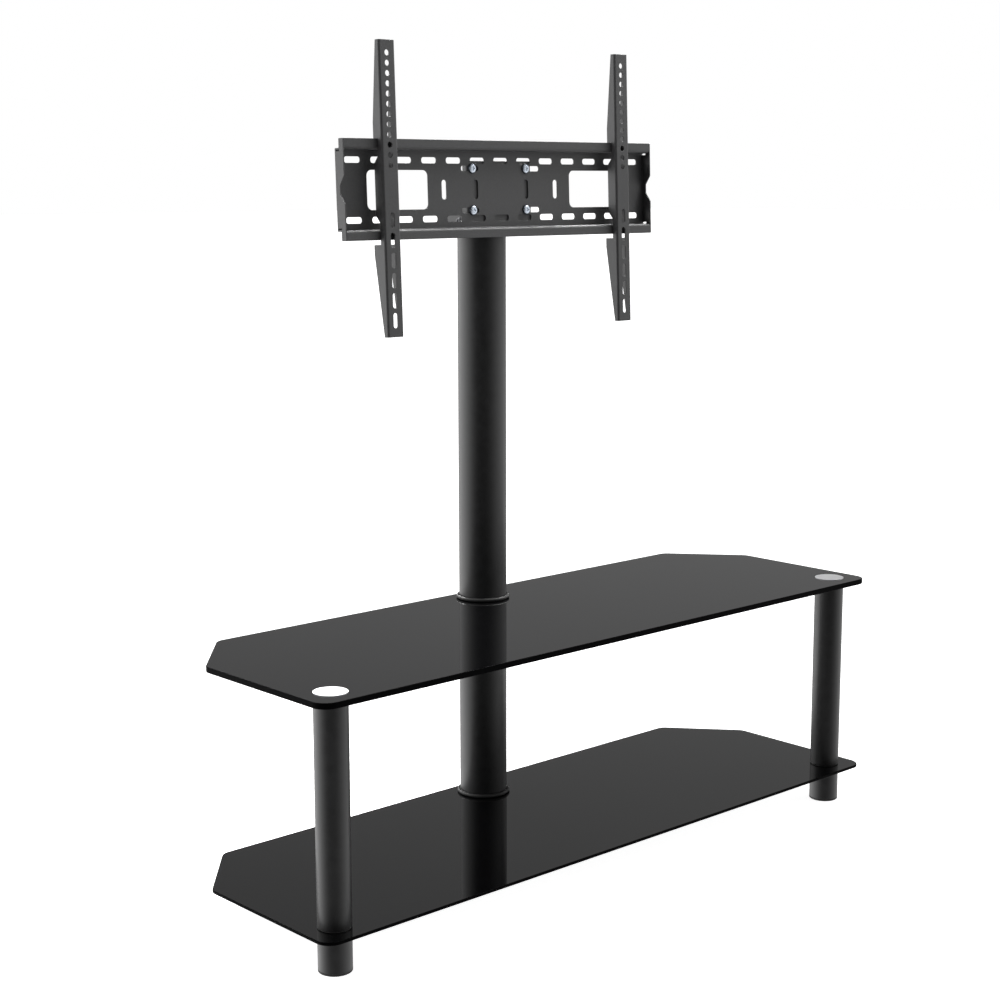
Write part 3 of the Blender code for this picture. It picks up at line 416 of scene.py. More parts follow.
def folded_sheet(section, outline, holes, thickness, edge, steps=6, rim_steps=3):
    """Points (a, b, v), faces and normals of a folded sheet with rounded cut edges.

    The flat pattern lies in (u, v). Its face is carried round the section, its back lies one thickness behind
    along the normal, and the rim joins them: it leaves the face by edge times the sine of an angle that runs
    to a right angle, at a depth of edge times one minus the cosine, and comes back the same way at the back.
    """
    loops = [shifted_loop(outline, -edge, steps)] + [shifted_loop(hole, edge, steps) for hole in holes]
    flat, triangles = flat_pattern(loops, section.bends)
    count = len(flat)
    place, normal = section.at(flat[:, 0])
    face = np.column_stack([place, flat[:, 1]])
    face_normal = np.column_stack([normal, np.zeros(count)])
    back = face - face_normal * thickness
    border = open_edges(triangles, count)
    along = flat[border[:, 1]] - flat[border[:, 0]]
    out = np.zeros((count, 2))
    side = unit(np.stack([along[:, 1], -along[:, 0]], axis=1))
    np.add.at(out, border[:, 0], side)
    np.add.at(out, border[:, 1], side)
    rim = np.unique(border)
    out = unit(out[rim])
    swing = np.linspace(0, np.pi / 2, rim_steps + 1)[1:]
    rows = [(a, edge * (1 - np.cos(a)), 1) for a in swing]
    rows += [(a, thickness - edge * (1 - np.cos(a)), -1) for a in swing[::-1]]
    points, normals, ids = [face, back], [face_normal, -face_normal], [rim]
    total = 2 * count
    for angle, depth, facing in rows:
        spread = flat[rim] + out * (edge * np.sin(angle))
        place, normal = section.at(spread[:, 0])
        tangent = np.stack([-normal[:, 1], normal[:, 0]], axis=1)
        flat_out = np.column_stack([tangent * out[:, :1], out[:, 1]])
        outward = np.column_stack([normal, np.zeros(len(rim))])
        points.append(np.column_stack([place - normal * depth, spread[:, 1]]))
        normals.append(flat_out * np.sin(angle) + outward * (facing * np.cos(angle)))
        ids.append(total + np.arange(len(rim)))
        total += len(rim)
    ids.append(rim + count)
    ids = np.array(ids)
    where = np.searchsorted(rim, border)
    quads = [
        np.stack([one[where[:, 0]], one[where[:, 1]], two[where[:, 1]], two[where[:, 0]]], axis=1)
        for one, two in zip(ids[:-1], ids[1:])
    ]
    faces = [triangles, triangles + count, *quads]
    return np.vstack(points), faces, np.vstack(normals)


def placed(shape, origin, axes):
    """A shape in (a, b, v) moved to origin with its three directions along the rows of axes."""
    points, faces, normals = shape
    return np.asarray(origin, float) + points @ axes, faces, normals @ axes


def joined(*shapes):
    """Several shapes as one, with their faces renumbered."""
    starts = np.cumsum([0] + [len(points) for points, _, _ in shapes])
    faces = [block + start for start, (_, blocks, _) in zip(starts, shapes) for block in blocks]
    return np.vstack([s[0] for s in shapes]), faces, np.vstack([s[2] for s in shapes])


def revolved(corners, steps, arc=5):
    """Points, faces and normals of a profile (radius, z) swept round Z.

    The profile runs down its outer side. One that starts and ends on the axis is capped by a fan at each end,
    and any other is a closed ring. Each row of points is the profile's point times the cosine and sine of the
    angle.
    """
    on_axis = corners[0][0] == 0
    profile, normal = filleted(corners, arc, closed=not on_axis)
    normal = -normal
    if on_axis:
        off_axis = profile[:, 0] > SAME_POINT
        tips = profile[[0, -1], 1]
        profile, normal = profile[off_axis], normal[off_axis]
    angle = np.linspace(0, 2 * np.pi, steps, endpoint=False)[:, None]
    cos, sin = np.cos(angle), np.sin(angle)
    (r, z), (out, up) = profile.T, normal.T
    grid = (steps, len(z))
    points = np.stack([r * cos, r * sin, np.broadcast_to(z, grid)], axis=-1)
    normals = np.stack([out * cos, out * sin, np.broadcast_to(up, grid)], axis=-1)
    return swept_grid(points, normals, tips if on_axis else None)


def swept_grid(points, normals, tips):
    """A grid closed in its first direction, and in its second one unless tips gives heights of end points."""
    steps, rows = points.shape[:2]
    index = np.arange(steps * rows).reshape(steps, rows)
    beside = np.roll(index, -1, axis=0)
    if tips is None:
        below, corner = np.roll(index, -1, axis=1), np.roll(beside, -1, axis=1)
        quads = np.stack([index, beside, corner, below], axis=-1).reshape(-1, 4)
        return points.reshape(-1, 3), [quads], normals.reshape(-1, 3)
    quads = np.stack([index[:, :-1], beside[:, :-1], beside[:, 1:], index[:, 1:]], axis=-1).reshape(-1, 4)
    top, bottom = np.full(steps, steps * rows), np.full(steps, steps * rows + 1)
    fans = [np.stack([top, beside[:, 0], index[:, 0]], 1), np.stack([bottom, index[:, -1], beside[:, -1]], 1)]
    points = np.vstack([points.reshape(-1, 3), [[0, 0, tips[0]], [0, 0, tips[1]]]])
    normals = np.vstack([normals.reshape(-1, 3), [[0, 0, 1.0], [0, 0, -1.0]]])
    return points, [quads, *fans], normals


def ring_profile(outer, inner, low, high, edge):
    """Profile of a plain ring, down its outer side and up its inner one, with every edge rounded."""
    return [(outer, high, edge), (outer, low, edge), (inner, low, edge), (inner, high, edge)]


def facing(points, faces, normals):
    """Faces of one block turned so that their winding agrees with the normals of their points."""
    a, b, c = (points[faces[:, k]] for k in range(3))
    agrees = (np.cross(b - a, c - a) * normals[faces].sum(1)).sum(1) >= 0
    return np.where(agrees[:, None], faces, faces[:, ::-1])


def piece(name, shape, material, node, body=None, crease=None, rim=None):
    """A mesh object at the origin, riding on the node's body and standing for the node if there is one.

    rim is a second material for every block of faces after the first two, which are the faces of a sheet.
    """
    points, blocks, normals = shape
    faces = [face for block in blocks for face in facing(points, block, normals).tolist()]
    mesh = bpy.data.meshes.new(name)
    mesh.from_pydata(points.tolist(), [], faces)
    mesh.shade_smooth()
    if crease is None:
        mesh.normals_split_custom_set_from_vertices(unit(normals).tolist())
    else:
        mesh.set_sharp_from_angle(angle=crease)
    mesh.materials.append(material)
    if rim:
        mesh.materials.append(rim)
        flat = len(blocks[0]) + len(blocks[1])
        mesh.polygons.foreach_set("material_index", (np.arange(len(faces)) >= flat).astype(np.int32))
    mesh.update()
    made = bpy.data.objects.new(name, mesh)
    bpy.context.scene.collection.objects.link(made)
    if node:
        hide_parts(node)
    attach(made, body or BODY_OF[node])
    return made


def middle_of(node):
    """The point of the floor below the middle of a node."""
    low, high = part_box(node)
    return np.array([(low.x + high.x) / 2, (low.y + high.y) / 2, 0.0])


def add_node(tree, kind, inputs=None, **settings):
    """A new node with values on its sockets and on its own settings."""
    made = tree.nodes.new(kind)
    for key, value in settings.items():
        setattr(made, key, value)
    for key, value in (inputs or {}).items():
        made.inputs[key].default_value = value
    return made


def new_group(name, inputs, outputs):
    """An empty shader group with float sockets, apart from Vector, and its input and output nodes."""
    group = bpy.data.node_groups.new(name, "ShaderNodeTree")
    for socket in inputs:
        kind = "NodeSocketVector" if socket == "Vector" else "NodeSocketFloat"
        group.interface.new_socket(name=socket, in_out="INPUT", socket_type=kind)
    for socket in outputs:
        group.interface.new_socket(name=socket, in_out="OUTPUT", socket_type="NodeSocketFloat")
    return group, group.nodes.new("NodeGroupInput"), group.nodes.new("NodeGroupOutput")


def grain_group():
    """Fine noise for relief, and coarser flecks of it for colour and gloss."""
    group, given, result = new_group("fine_grain", ("Vector", "Scale", "Fleck Scale"), ("Height", "Fleck"))
    link = group.links.new
    fine = add_node(group, "ShaderNodeTexNoise", {"Detail": 3.0, "Roughness": 0.55})
    coarse = add_node(group, "ShaderNodeTexNoise", {"Detail": 5.0, "Roughness": 0.65})
    spread = add_node(group, "ShaderNodeMapRange", {"From Min": 0.36, "From Max": 0.64})
    for noise, scale in ((fine, "Scale"), (coarse, "Fleck Scale")):
        link(given.outputs["Vector"], noise.inputs["Vector"])
        link(given.outputs[scale], noise.inputs["Scale"])
    link(fine.outputs["Fac"], result.inputs["Height"])
    link(coarse.outputs["Fac"], spread.inputs["Value"])
    link(spread.outputs["Result"], result.inputs["Fleck"])
    return group


def handling_group():
    """Faint wiped smears and scattered specks of dust."""
    group, given, result = new_group("handling_marks", ("Vector", "Scale"), ("Smear", "Dust"))
    link = group.links.new
    smear = add_node(group, "ShaderNodeTexNoise", {"Detail": 4.0, "Roughness": 0.6, "Distortion": 1.4})
    spread = add_node(group, "ShaderNodeMapRange", {"From Min": 0.45, "From Max": 0.75})
    specks = add_node(group, "ShaderNodeTexVoronoi", {"Randomness": 1.0})
    finer = add_node(group, "ShaderNodeMath", {1: 60.0}, operation="MULTIPLY")
    dots = add_node(group, "ShaderNodeMapRange", {"From Min": 0.10, "From Max": 0.04})
    for target in (smear.inputs["Vector"], specks.inputs["Vector"]):
        link(given.outputs["Vector"], target)
    link(given.outputs["Scale"], smear.inputs["Scale"])
    link(given.outputs["Scale"], finer.inputs[0])
    link(finer.outputs["Value"], specks.inputs["Scale"])
    link(smear.outputs["Fac"], spread.inputs["Value"])
    link(specks.outputs["Distance"], dots.inputs["Value"])
    link(spread.outputs["Result"], result.inputs["Smear"])
    link(dots.outputs["Result"], result.inputs["Dust"])
    return group


def rings_group():
    """Fine turning marks: noise that depends mostly on the distance from the local Z axis."""
    group, given, result = new_group("turning_marks", ("Vector", "Rings"), ("Height", "Streak"))
    link = group.links.new
    split = add_node(group, "ShaderNodeSeparateXYZ")
    flat = add_node(group, "ShaderNodeCombineXYZ")
    far = add_node(group, "ShaderNodeVectorMath", operation="LENGTH")
    often = add_node(group, "ShaderNodeMath", operation="MULTIPLY")
    marks = add_node(group, "ShaderNodeTexNoise", {"Scale": 1.0, "Detail": 2.0}, noise_dimensions="1D")
    drift = add_node(group, "ShaderNodeTexNoise", {"Scale": 140.0, "Detail": 3.0})
    both = add_node(group, "ShaderNodeMath", operation="MULTIPLY")
    link(given.outputs["Vector"], split.inputs["Vector"])
    link(split.outputs["X"], flat.inputs["X"])
    link(split.outputs["Y"], flat.inputs["Y"])
    link(flat.outputs["Vector"], far.inputs[0])
    link(far.outputs["Value"], often.inputs[0])
    link(given.outputs["Rings"], often.inputs[1])
    link(often.outputs["Value"], marks.inputs["W"])
    link(given.outputs["Vector"], drift.inputs["Vector"])
    link(marks.outputs["Fac"], both.inputs[0])
    link(drift.outputs["Fac"], both.inputs[1])
    link(marks.outputs["Fac"], result.inputs["Height"])
    link(both.outputs["Value"], result.inputs["Streak"])
    return group


class Finish:
    """A material in the making: a Principled shader, object coordinates and links from shared effects."""

    def __init__(self, name, rgb, metallic=0.0, centre=None):
        self.material = bpy.data.materials.new(name)
        self.material.use_nodes = True
        self.tree = self.material.node_tree
        self.shader = self.tree.nodes["Principled BSDF"]
        self.rgb = tuple(rgb)
        self.shader.inputs["Base Color"].default_value = (*self.rgb, 1.0)
        self.shader.inputs["Metallic"].default_value = metallic
        self.vector = self.tree.nodes.new("ShaderNodeTexCoord").outputs["Object"]
        if centre is not None:
            shift = add_node(self.tree, "ShaderNodeMapping", vector_type="POINT")
            shift.inputs["Location"].default_value = tuple(-np.asarray(centre, float))
            self.tree.links.new(self.vector, shift.inputs["Vector"])
            self.vector = shift.outputs["Vector"]

    def effect(self, group, **values):
        """Outputs of a shared effect on the piece's coordinates, with its other inputs set to values."""
        made = add_node(self.tree, "ShaderNodeGroup", node_tree=group)
        self.tree.links.new(self.vector, made.inputs["Vector"])
        for key, value in values.items():
            made.inputs[key.replace("_", " ").title()].default_value = value
        return made.outputs

    def tint(self, mask, low, high):
        """Base colour from low times the finish's colour to high times it, by a mask."""
        mix = add_node(self.tree, "ShaderNodeMix", data_type="RGBA")
        mix.inputs["A"].default_value = (*(min(1.0, c * low) for c in self.rgb), 1.0)
        mix.inputs["B"].default_value = (*(min(1.0, c * high) for c in self.rgb), 1.0)
        self.tree.links.new(mask, mix.inputs["Factor"])
        self.tree.links.new(mix.outputs["Result"], self.shader.inputs["Base Color"])
        return self

    def gloss(self, mask, low, high):
        """Roughness from low to high by a mask."""
        spread = add_node(self.tree, "ShaderNodeMapRange", {"To Min": low, "To Max": high})
        self.tree.links.new(mask, spread.inputs["Value"])
        self.tree.links.new(spread.outputs["Result"], self.shader.inputs["Roughness"])
        return self

    def relief(self, height, strength, distance):
        """Bumps from a height."""
        bump = add_node(self.tree, "ShaderNodeBump", {"Strength": strength, "Distance": distance})
        self.tree.links.new(height, bump.inputs["Height"])
        self.tree.links.new(bump.outputs["Normal"], self.shader.inputs["Normal"])
        return self


def shared(name, maker):
    """A node group that is made the first time it is asked for."""
    return bpy.data.node_groups.get(name) or maker()


def grain_finish(name, rgb, scale, fleck_scale, tint, gloss, relief, metallic=0.0):
    """A finish with grain: its flecks vary colour and gloss, and its fine noise gives relief."""
    finish = Finish(name, rgb, metallic)
    grain = finish.effect(shared("fine_grain", grain_group), scale=scale, fleck_scale=fleck_scale)
    finish.tint(grain["Fleck"], *tint).gloss(grain["Fleck"], *gloss).relief(grain["Height"], *relief)
    return finish


def black_glass(rgb):
    """Back-painted glass: near black below a polished face with faint smears and dust."""
    finish = Finish("black_glass_finish", rgb)
    marks = finish.effect(shared("handling_marks", handling_group), scale=7.0)
    finish.tint(marks["Dust"], low=1.0, high=2.0).gloss(marks["Smear"], low=0.015, high=0.045)
    finish.shader.inputs["IOR"].default_value = 1.52
    return finish.material


def sealed_edge(rgb):
    """Ground rim of the glass under black sealer, which hardly shines."""
    grain = {"scale": 900.0, "fleck_scale": 200.0}
    looks = {"tint": (0.5, 1.0), "gloss": (0.4, 0.55), "relief": (0.1, 0.0002)}
    finish = grain_finish("sealed_edge_finish", rgb, **grain, **looks)
    finish.shader.inputs["Specular IOR Level"].default_value = 0.01
    return finish.material


def tube_lacquer(rgb):
    """Satin lacquer with a slight orange peel."""
    grain = {"scale": 700.0, "fleck_scale": 60.0}
    looks = {"tint": (0.85, 1.2), "gloss": (0.34, 0.40), "relief": (0.04, 0.0003)}
    finish = grain_finish("tube_lacquer", rgb, **grain, **looks)
    finish.shader.inputs["IOR"].default_value = 1.44
    return finish.material


def powder_coat(rgb):
    """Fine textured powder coat: small even bumps and a slightly broken colour."""
    grain = {"scale": 1300.0, "fleck_scale": 420.0}
    looks = {"tint": (0.78, 1.25), "gloss": (0.46, 0.62), "relief": (0.30, 0.0003)}
    return grain_finish("powder_coat", rgb, **grain, **looks).material


def spun_metal(name, rgb, centre, rings, rough):
    """Bright metal with turning marks round its own axis."""
    finish = Finish(name, rgb, metallic=1.0, centre=centre)
    marks = finish.effect(shared("turning_marks", rings_group), rings=rings)
    finish.tint(marks["Streak"], low=0.9, high=1.08).gloss(marks["Streak"], *rough)
    finish.relief(marks["Height"], strength=0.15, distance=0.0001)
    return finish.material


FINISHES = {}


def finish_once(key, maker, *values):
    """A finish that is made the first time it is asked for and shared from then on."""
    if key not in FINISHES:
        FINISHES[key] = maker(*values)
    return FINISHES[key]


def coat(context):
    return finish_once("coat", powder_coat, context.scene.stand_finishes.coat)


def lacquer(context):
    return finish_once("lacquer", tube_lacquer, context.scene.stand_finishes.lacquer)


def grained(name, rgb, **values):
    return finish_once(name, lambda: grain_finish(name, rgb, **values).material)


def glass_shelf(node, sizes, post_hole):
    """Flat sheet with straight front and sides, cut-off rear corners and a round edge, drilled for rods."""
    low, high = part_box(node)
    cut_x, cut_y = high.x - sizes.rear_cut_width, high.y - sizes.rear_cut_depth
    outline = [(low.x, low.y, sizes.front_corner), (high.x, low.y, sizes.front_corner)]
    outline += [(high.x, cut_y, sizes.rear_corner), (cut_x, high.y, sizes.rear_corner)]
    outline += [(-cut_x, high.y, sizes.rear_corner), (low.x, cut_y, sizes.rear_corner)]
    posts = [middle_of(side + "_post") for side, _ in SIDES]
    holes = [round_hole(x, y, post_hole) for x, y, _ in posts]
    pole = middle_of("pole_lower")
    holes.append(round_hole(pole[0], pole[1], sizes.pole_bolt))
    section = Section([(low.x, 0, 0), (high.x, 0, 0)], low.x)
    shape = folded_sheet(section, outline, holes, high.z - low.z, sizes.glass_edge, steps=12, rim_steps=5)
    return placed(shape, (0, 0, high.z), FACE_UP)


class TVSTAND_OT_glass_shelves(Operator):
    """Make both black glass shelves"""

    bl_idname = "tvstand.glass_shelves"
    bl_label = "Glass Shelves"

    def execute(self, context):
        sizes = context.scene.stand_sizes
        material = black_glass(context.scene.stand_finishes.glass)
        edge = sealed_edge(context.scene.stand_finishes.glass)
        for node, hole in (("upper_shelf", sizes.cap_hole), ("lower_shelf", sizes.post_bolt)):
            piece(node + "_glass", glass_shelf(node, sizes, hole), material, node, rim=edge)
        return {"FINISHED"}


def ring_shape(node, wall, edge, steps, arc):
    """A ring as tall as the node's box, whose profile is its wall with every edge rounded in arc steps."""
    low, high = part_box(node)
    outer = (high.x - low.x) / 2
    profile = ring_profile(outer, outer - wall, low.z, high.z, edge)
    return placed(revolved(profile, steps, arc=arc), middle_of(node), UPRIGHT)


class TVSTAND_OT_tubes(Operator):
    """Make the posts, the feet and the pole"""

    bl_idname = "tvstand.tubes"
    bl_label = "Posts, Feet and Pole"

    def execute(self, context):
        sizes = context.scene.stand_sizes
        posts = [side + kind for side, _ in SIDES for kind in ("_post", "_foot")]
        poles = ["rear_foot", "pole_lower", "pole_upper"]
        for nodes, wall, finish in ((posts, sizes.post_wall, "post"), (poles, sizes.pole_wall, "pole")):
            for node in nodes:
                shape = ring_shape(node, wall, sizes.tube_edge, sizes.round_steps, arc=4)
                piece(node + "_tube", shape, lacquer(context), node)
        return {"FINISHED"}


def collar_shape(node, tube, sizes):
    """A ring with a rounded bead outside the pole tube and a thin land under it."""
    low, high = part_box(node)
    tube_low, tube_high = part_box(tube)
    outer = (high.x - low.x) / 2
    bore = (tube_high.x - tube_low.x) / 2 + GAP
    inner, land = bore - sizes.collar_lap, low.z + sizes.collar_land
    bead, fine = sizes.collar_bead, sizes.collar_edge
    corners = [(bore, high.z, sizes.collar_inner), (outer, high.z, bead), (outer, low.z, bead)]
    corners += [(inner, low.z, fine), (inner, land, fine), (bore, land, fine)]
    return placed(revolved(corners, sizes.round_steps, arc=8), middle_of(node), UPRIGHT)


class TVSTAND_OT_collars(Operator):
    """Make the beads round the pole on both shelves"""

    bl_idname = "tvstand.collars"
    bl_label = "Pole Collars"

    def execute(self, context):
        sizes, rgb = context.scene.stand_sizes, context.scene.stand_finishes.collar
        grain = {"scale": 900.0, "fleck_scale": 45.0}
        satin = {"tint": (0.9, 1.15), "gloss": (0.56, 0.68), "relief": (0.05, 0.0002)}
        material = grained("collar_satin", rgb, **grain, **satin)
        for node, tube in (("lower_collar", "pole_lower"), ("upper_collar", "pole_upper")):
            piece(node + "_bead", collar_shape(node, tube, sizes), material, node)
        return {"FINISHED"}


def cap_shape(node, sizes):
    """A flat disc with a rounded rim and a boss below it that ends in a blind hole."""
    low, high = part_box(node)
    radius = (high.x - low.x) / 2
    under, end = high.z - sizes.cap_disc, low.z + sizes.cap_thread_depth
    boss, thread = sizes.cap_boss / 2, sizes.cap_thread / 2
    fine = sizes.cap_edge
    corners = [(0, high.z, 0), (radius, high.z, fine), (radius, under, fine), (boss, under, fine)]
    corners += [(boss, low.z, fine), (thread, low.z, fine), (thread, end, fine), (0, end, 0)]
    return placed(revolved(corners, sizes.round_steps, arc=5), middle_of(node), UPRIGHT)


class TVSTAND_OT_caps(Operator):
    """Make the bright discs on the upper shelf"""

    bl_idname = "tvstand.caps"
    bl_label = "Post Caps"

    def execute(self, context):
        rgb = context.scene.stand_finishes.cap
        for side, _ in SIDES:
            node = side + "_cap"
            turned = {"centre": middle_of(node), "rings": 2600.0, "rough": (0.42, 0.58)}
            material = spun_metal(side + "_cap_metal", rgb, **turned)
            piece(node + "_disc", cap_shape(node, context.scene.stand_sizes), material, node)
        return {"FINISHED"}


def pad_shape(node, wall, sizes):
    """A disc with a rounded lower rim and a spigot above it that sits in the tube."""
    low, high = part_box(node)
    outer = (high.x - low.x) / 2
    spigot, flange = outer - wall - GAP, low.z + sizes.pad_flange
    fine = sizes.ring_edge
    corners = [(0, high.z, 0), (spigot, high.z, fine), (spigot, flange, fine), (outer, flange, fine)]
    corners += [(outer, low.z, sizes.pad_edge), (0, low.z, 0)]
    return placed(revolved(corners, sizes.round_steps, arc=5), middle_of(node), UPRIGHT)


class TVSTAND_OT_pads_and_gaskets(Operator):
    """Make the floor pads and the gaskets between tubes and glass"""

    bl_idname = "tvstand.pads_and_gaskets"
    bl_label = "Pads and Gaskets"

    def execute(self, context):
        sizes, finishes = context.scene.stand_sizes, context.scene.stand_finishes
        matt = {"tint": (0.8, 1.3), "gloss": (0.55, 0.75), "relief": (0.2, 0.0003)}
        rubber = grained("gasket_rubber_finish", finishes.rubber, scale=800.0, fleck_scale=150.0, **matt)
        moulded = grained("pad_moulding", finishes.pad, scale=600.0, fleck_scale=200.0, **matt)
        lands = {"gasket": sizes.gasket_land, "bush": sizes.bush_wall}
        for node in sorted(frame["nodes"]):
            for kind, land in lands.items():
                if kind in node:
                    shape = ring_shape(node, land, sizes.ring_edge, sizes.round_steps, arc=3)
                    piece(node + "_ring", shape, rubber, node)
        walls = {"left_glide": sizes.post_wall, "right_glide": sizes.post_wall, "rear_glide": sizes.pole_wall}
        for node, wall in walls.items():
            piece(node + "_pad", pad_shape(node, wall, sizes), moulded, node)
        return {"FINISHED"}


def plate_openings(sizes, screws):
    """Corner lists of every opening of the web, in x and height above the middle of the plate."""
    columns = np.arange(-sizes.slots_each_side, sizes.slots_each_side + 1) * sizes.slot_pitch
    wall_slot = (sizes.slot_length, sizes.slot_height, sizes.slot_corner)
    made = [(x, s, *wall_slot) for x in columns for s in (-sizes.slot_rise, sizes.slot_rise)]
    window = (sizes.window_length, sizes.window_height, sizes.window_corner)
    upright = (sizes.upright_slot_width, sizes.upright_slot_height, sizes.upright_slot_corner)
    for sign in (-1, 1):
        made.append((sign * sizes.window_spacing / 2, 0, *window))
        made.append((sign * sizes.side_slot_spacing / 2, 0, *upright))
        made.append((sign * sizes.centre_slot_spacing / 2, 0, *upright))
    screw_slot = (sizes.screw_slot_length, sizes.screw_slot_height, sizes.screw_slot_corner)
    for x, s in screws:
        made.append((np.sign(x) * sizes.screw_slot_spacing / 2, s, *screw_slot))
    return made


def screw_nodes():
    return [f"{level}_{side}_screw" for level in ("upper", "lower") for side, _ in SIDES]


def in_mount(point):
    """A point of the frame in the mount's own right, back and up directions, from the pivot."""
    return LEAN @ (np.asarray(point, float) - PIVOT)


def screw_spots(sizes):
    """Each screw's x and its height above the middle of the plate."""
    for node in screw_nodes():
        low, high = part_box(node)
        x, _, s = in_mount((low + high) / 2)
        yield x, s - sizes.plate_rise


def plate_shape(sizes):
    """Web, flanges and lips as one folded sheet, whose section goes from lip to lip through four bends."""
    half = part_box("mount_plate")[1].x - sizes.sheet
    lip, depth = sizes.plate_height / 2, sizes.plate_depth - sizes.sheet
    web = lip - sizes.lip_height - sizes.sheet
    tight, wide = sizes.bend, sizes.lip_bend + sizes.sheet
    upper = [(0, lip, 0), (0, web, wide), (depth, web, tight)]
    lower = [(depth, -web, tight), (0, -web, wide), (0, -lip, 0)]
    section = Section(upper + lower)
    outline = slot(section.middle, 0, section.end, 2 * half, 2 * sizes.cut_edge)
    openings = plate_openings(sizes, list(screw_spots(sizes)))
    holes = [slot(section.middle - s, x, height, width, r) for x, s, width, height, r in openings]
    shape = folded_sheet(section, outline, holes, sizes.sheet, sizes.cut_edge, steps=5)
    origin = PIVOT + np.array([0, -sizes.lip_face, sizes.plate_rise]) @ LEAN
    return placed(shape, origin, LEAN[[1, 2, 0]])


def end_wall_shape(sizes, sign):
    """Flat wall that closes an end of the plate, stepped behind the lips and notched in front."""
    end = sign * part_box("mount_plate")[1].x
    lip, deep, ear = sizes.plate_height / 2, sizes.plate_depth, sizes.end_ear
    flange = lip - sizes.lip_height
    mouth, floor, depth = sizes.notch_mouth / 2, sizes.notch_floor / 2, sizes.notch_depth
    lower = [(depth, -floor), (0, -mouth), (0, -lip), (ear, -lip), (ear, -flange), (deep, -flange)]
    upper = [(u, -s) for u, s in reversed(lower)]
    outline = [(u, s, sizes.end_corner) for u, s in lower + upper]
    section = Section([(0, 0, 0), (deep, 0, 0)])
    relief_u = deep - sizes.sheet - sizes.relief_inset - sizes.relief_length / 2
    relief_s = flange - sizes.sheet - sizes.relief_inset - sizes.relief_height / 2
    relief = (sizes.relief_length, sizes.relief_height, sizes.relief_corner)
    holes = [slot(relief_u, s, *relief) for s in (-relief_s, relief_s)]
    shape = folded_sheet(section, outline, holes, sizes.sheet, sizes.cut_edge, steps=5)
    origin = PIVOT + np.array([end, -sizes.lip_face, sizes.plate_rise]) @ LEAN
    return placed(shape, origin, np.stack([LEAN[1], -sign * LEAN[0], LEAN[2]]))


class TVSTAND_OT_screen_plate(Operator):
    """Make the slotted plate with its lips and end walls"""

    bl_idname = "tvstand.screen_plate"
    bl_label = "Screen Plate"

    def execute(self, context):
        sizes = context.scene.mount_sizes
        piece("screen_plate", plate_shape(sizes), coat(context), "mount_plate")
        for side, sign in SIDES:
            name = side + "_plate_end_wall"
            piece(name, end_wall_shape(sizes, sign), coat(context), None, "mount")
        return {"FINISHED"}


def channel(width, reach, thickness, bend, flange, holes, edge):
    """A U of sheet: a face between two flanges that share one side view.

    The section runs from the end of one flange, reach behind the face, round two bends to the end of the
    other. flange lists the free edge of a flange as (depth behind the face, height, radius), from its foot to
    its top. A hole is (x, v, width, height, corner) on the face, or (depth, v, diameter) in both flanges.
    """
    half = width / 2
    outer = bend + thickness
    section = Section([(-half, reach, 0), (-half, 0, outer), (half, 0, outer), (half, reach, 0)])
    left = [(reach - d, v, r) for d, v, r in flange]
    right = [(section.end - reach + d, v, r) for d, v, r in reversed(flange)]
    cuts = []
    for hole in holes:
        if len(hole) == 3:
            depth, v, diameter = hole
            cuts += [round_hole(u, v, diameter) for u in (reach - depth, section.end - reach + depth)]
        else:
            u, v, wide, high, corner = hole
            cuts.append(slot(section.middle + u, v, wide, high, corner))
    return folded_sheet(section, left + right, cuts, thickness, edge, steps=5)


def arm_flange(sizes):
    """Free edge of an arm's flange from foot to top: taper, notch, lobe, hook over the upper lip, taper."""
    fine = 2 * sizes.cut_edge
    lip = sizes.plate_height / 2
    notch = -sizes.lip_face - in_mount(ARM_PLACES["right"])[1] - GAP
    hook = notch + GAP + sizes.sheet + sizes.arm_hook_slack
    hang = lip + GAP
    lift, drop = -lip - sizes.arm_lift_room, hang - sizes.arm_hook_drop
    tip, upper, lower = sizes.arm_tip_depth, sizes.arm_upper_depth, sizes.arm_lower_depth
    deep, lobe, neck = sizes.arm_lobe_depth, sizes.arm_lobe_half, sizes.arm_neck_half
    return [
        (tip, -sizes.arm_below, fine),
        (lower, -sizes.arm_lower_taper, 4 * fine),
        (lower, lift, fine),
        (notch, lift, fine),
        (notch, -neck, fine),
        (deep, -lobe, 2 * fine),
        (deep, lobe, 2 * fine),
        (notch, neck, fine),
        (notch, hang, fine),
        (hook, hang, fine),
        (hook, drop, fine),
        (upper, drop, fine),
        (upper, sizes.arm_upper_taper, 4 * fine),
        (tip, sizes.arm_above, fine),
    ]


def arm_openings(sizes):
    """Round holes above and slots below."""
    tops = sizes.arm_above - sizes.arm_hole_from_top - np.arange(sizes.arm_holes) * sizes.arm_hole_pitch
    feet = sizes.arm_slot_from_foot - sizes.arm_below + np.arange(sizes.arm_slots) * sizes.arm_slot_pitch
    hole = (sizes.arm_hole, sizes.arm_hole, sizes.arm_hole / 2)
    long_hole = (sizes.arm_slot_width, sizes.arm_slot_length, sizes.arm_slot_corner)
    return [(0.0, v, *hole) for v in tops] + [(0.0, v, *long_hole) for v in feet]


class TVSTAND_OT_arms(Operator):
    """Make the two perforated arms that hang on the plate"""

    bl_idname = "tvstand.arms"
    bl_label = "Screen Arms"

    def execute(self, context):
        sizes = context.scene.mount_sizes
        flange, holes = arm_flange(sizes), arm_openings(sizes)
        sheet, edge = sizes.arm_sheet, sizes.cut_edge
        shape = channel(sizes.arm_width, ARM_REACH, sheet, sizes.bend, flange, holes, edge)
        for side, place in ARM_PLACES.items():
            piece(side + "_arm_channel", placed(shape, place, LEAN), coat(context), side + "_arm")
        return {"FINISHED"}


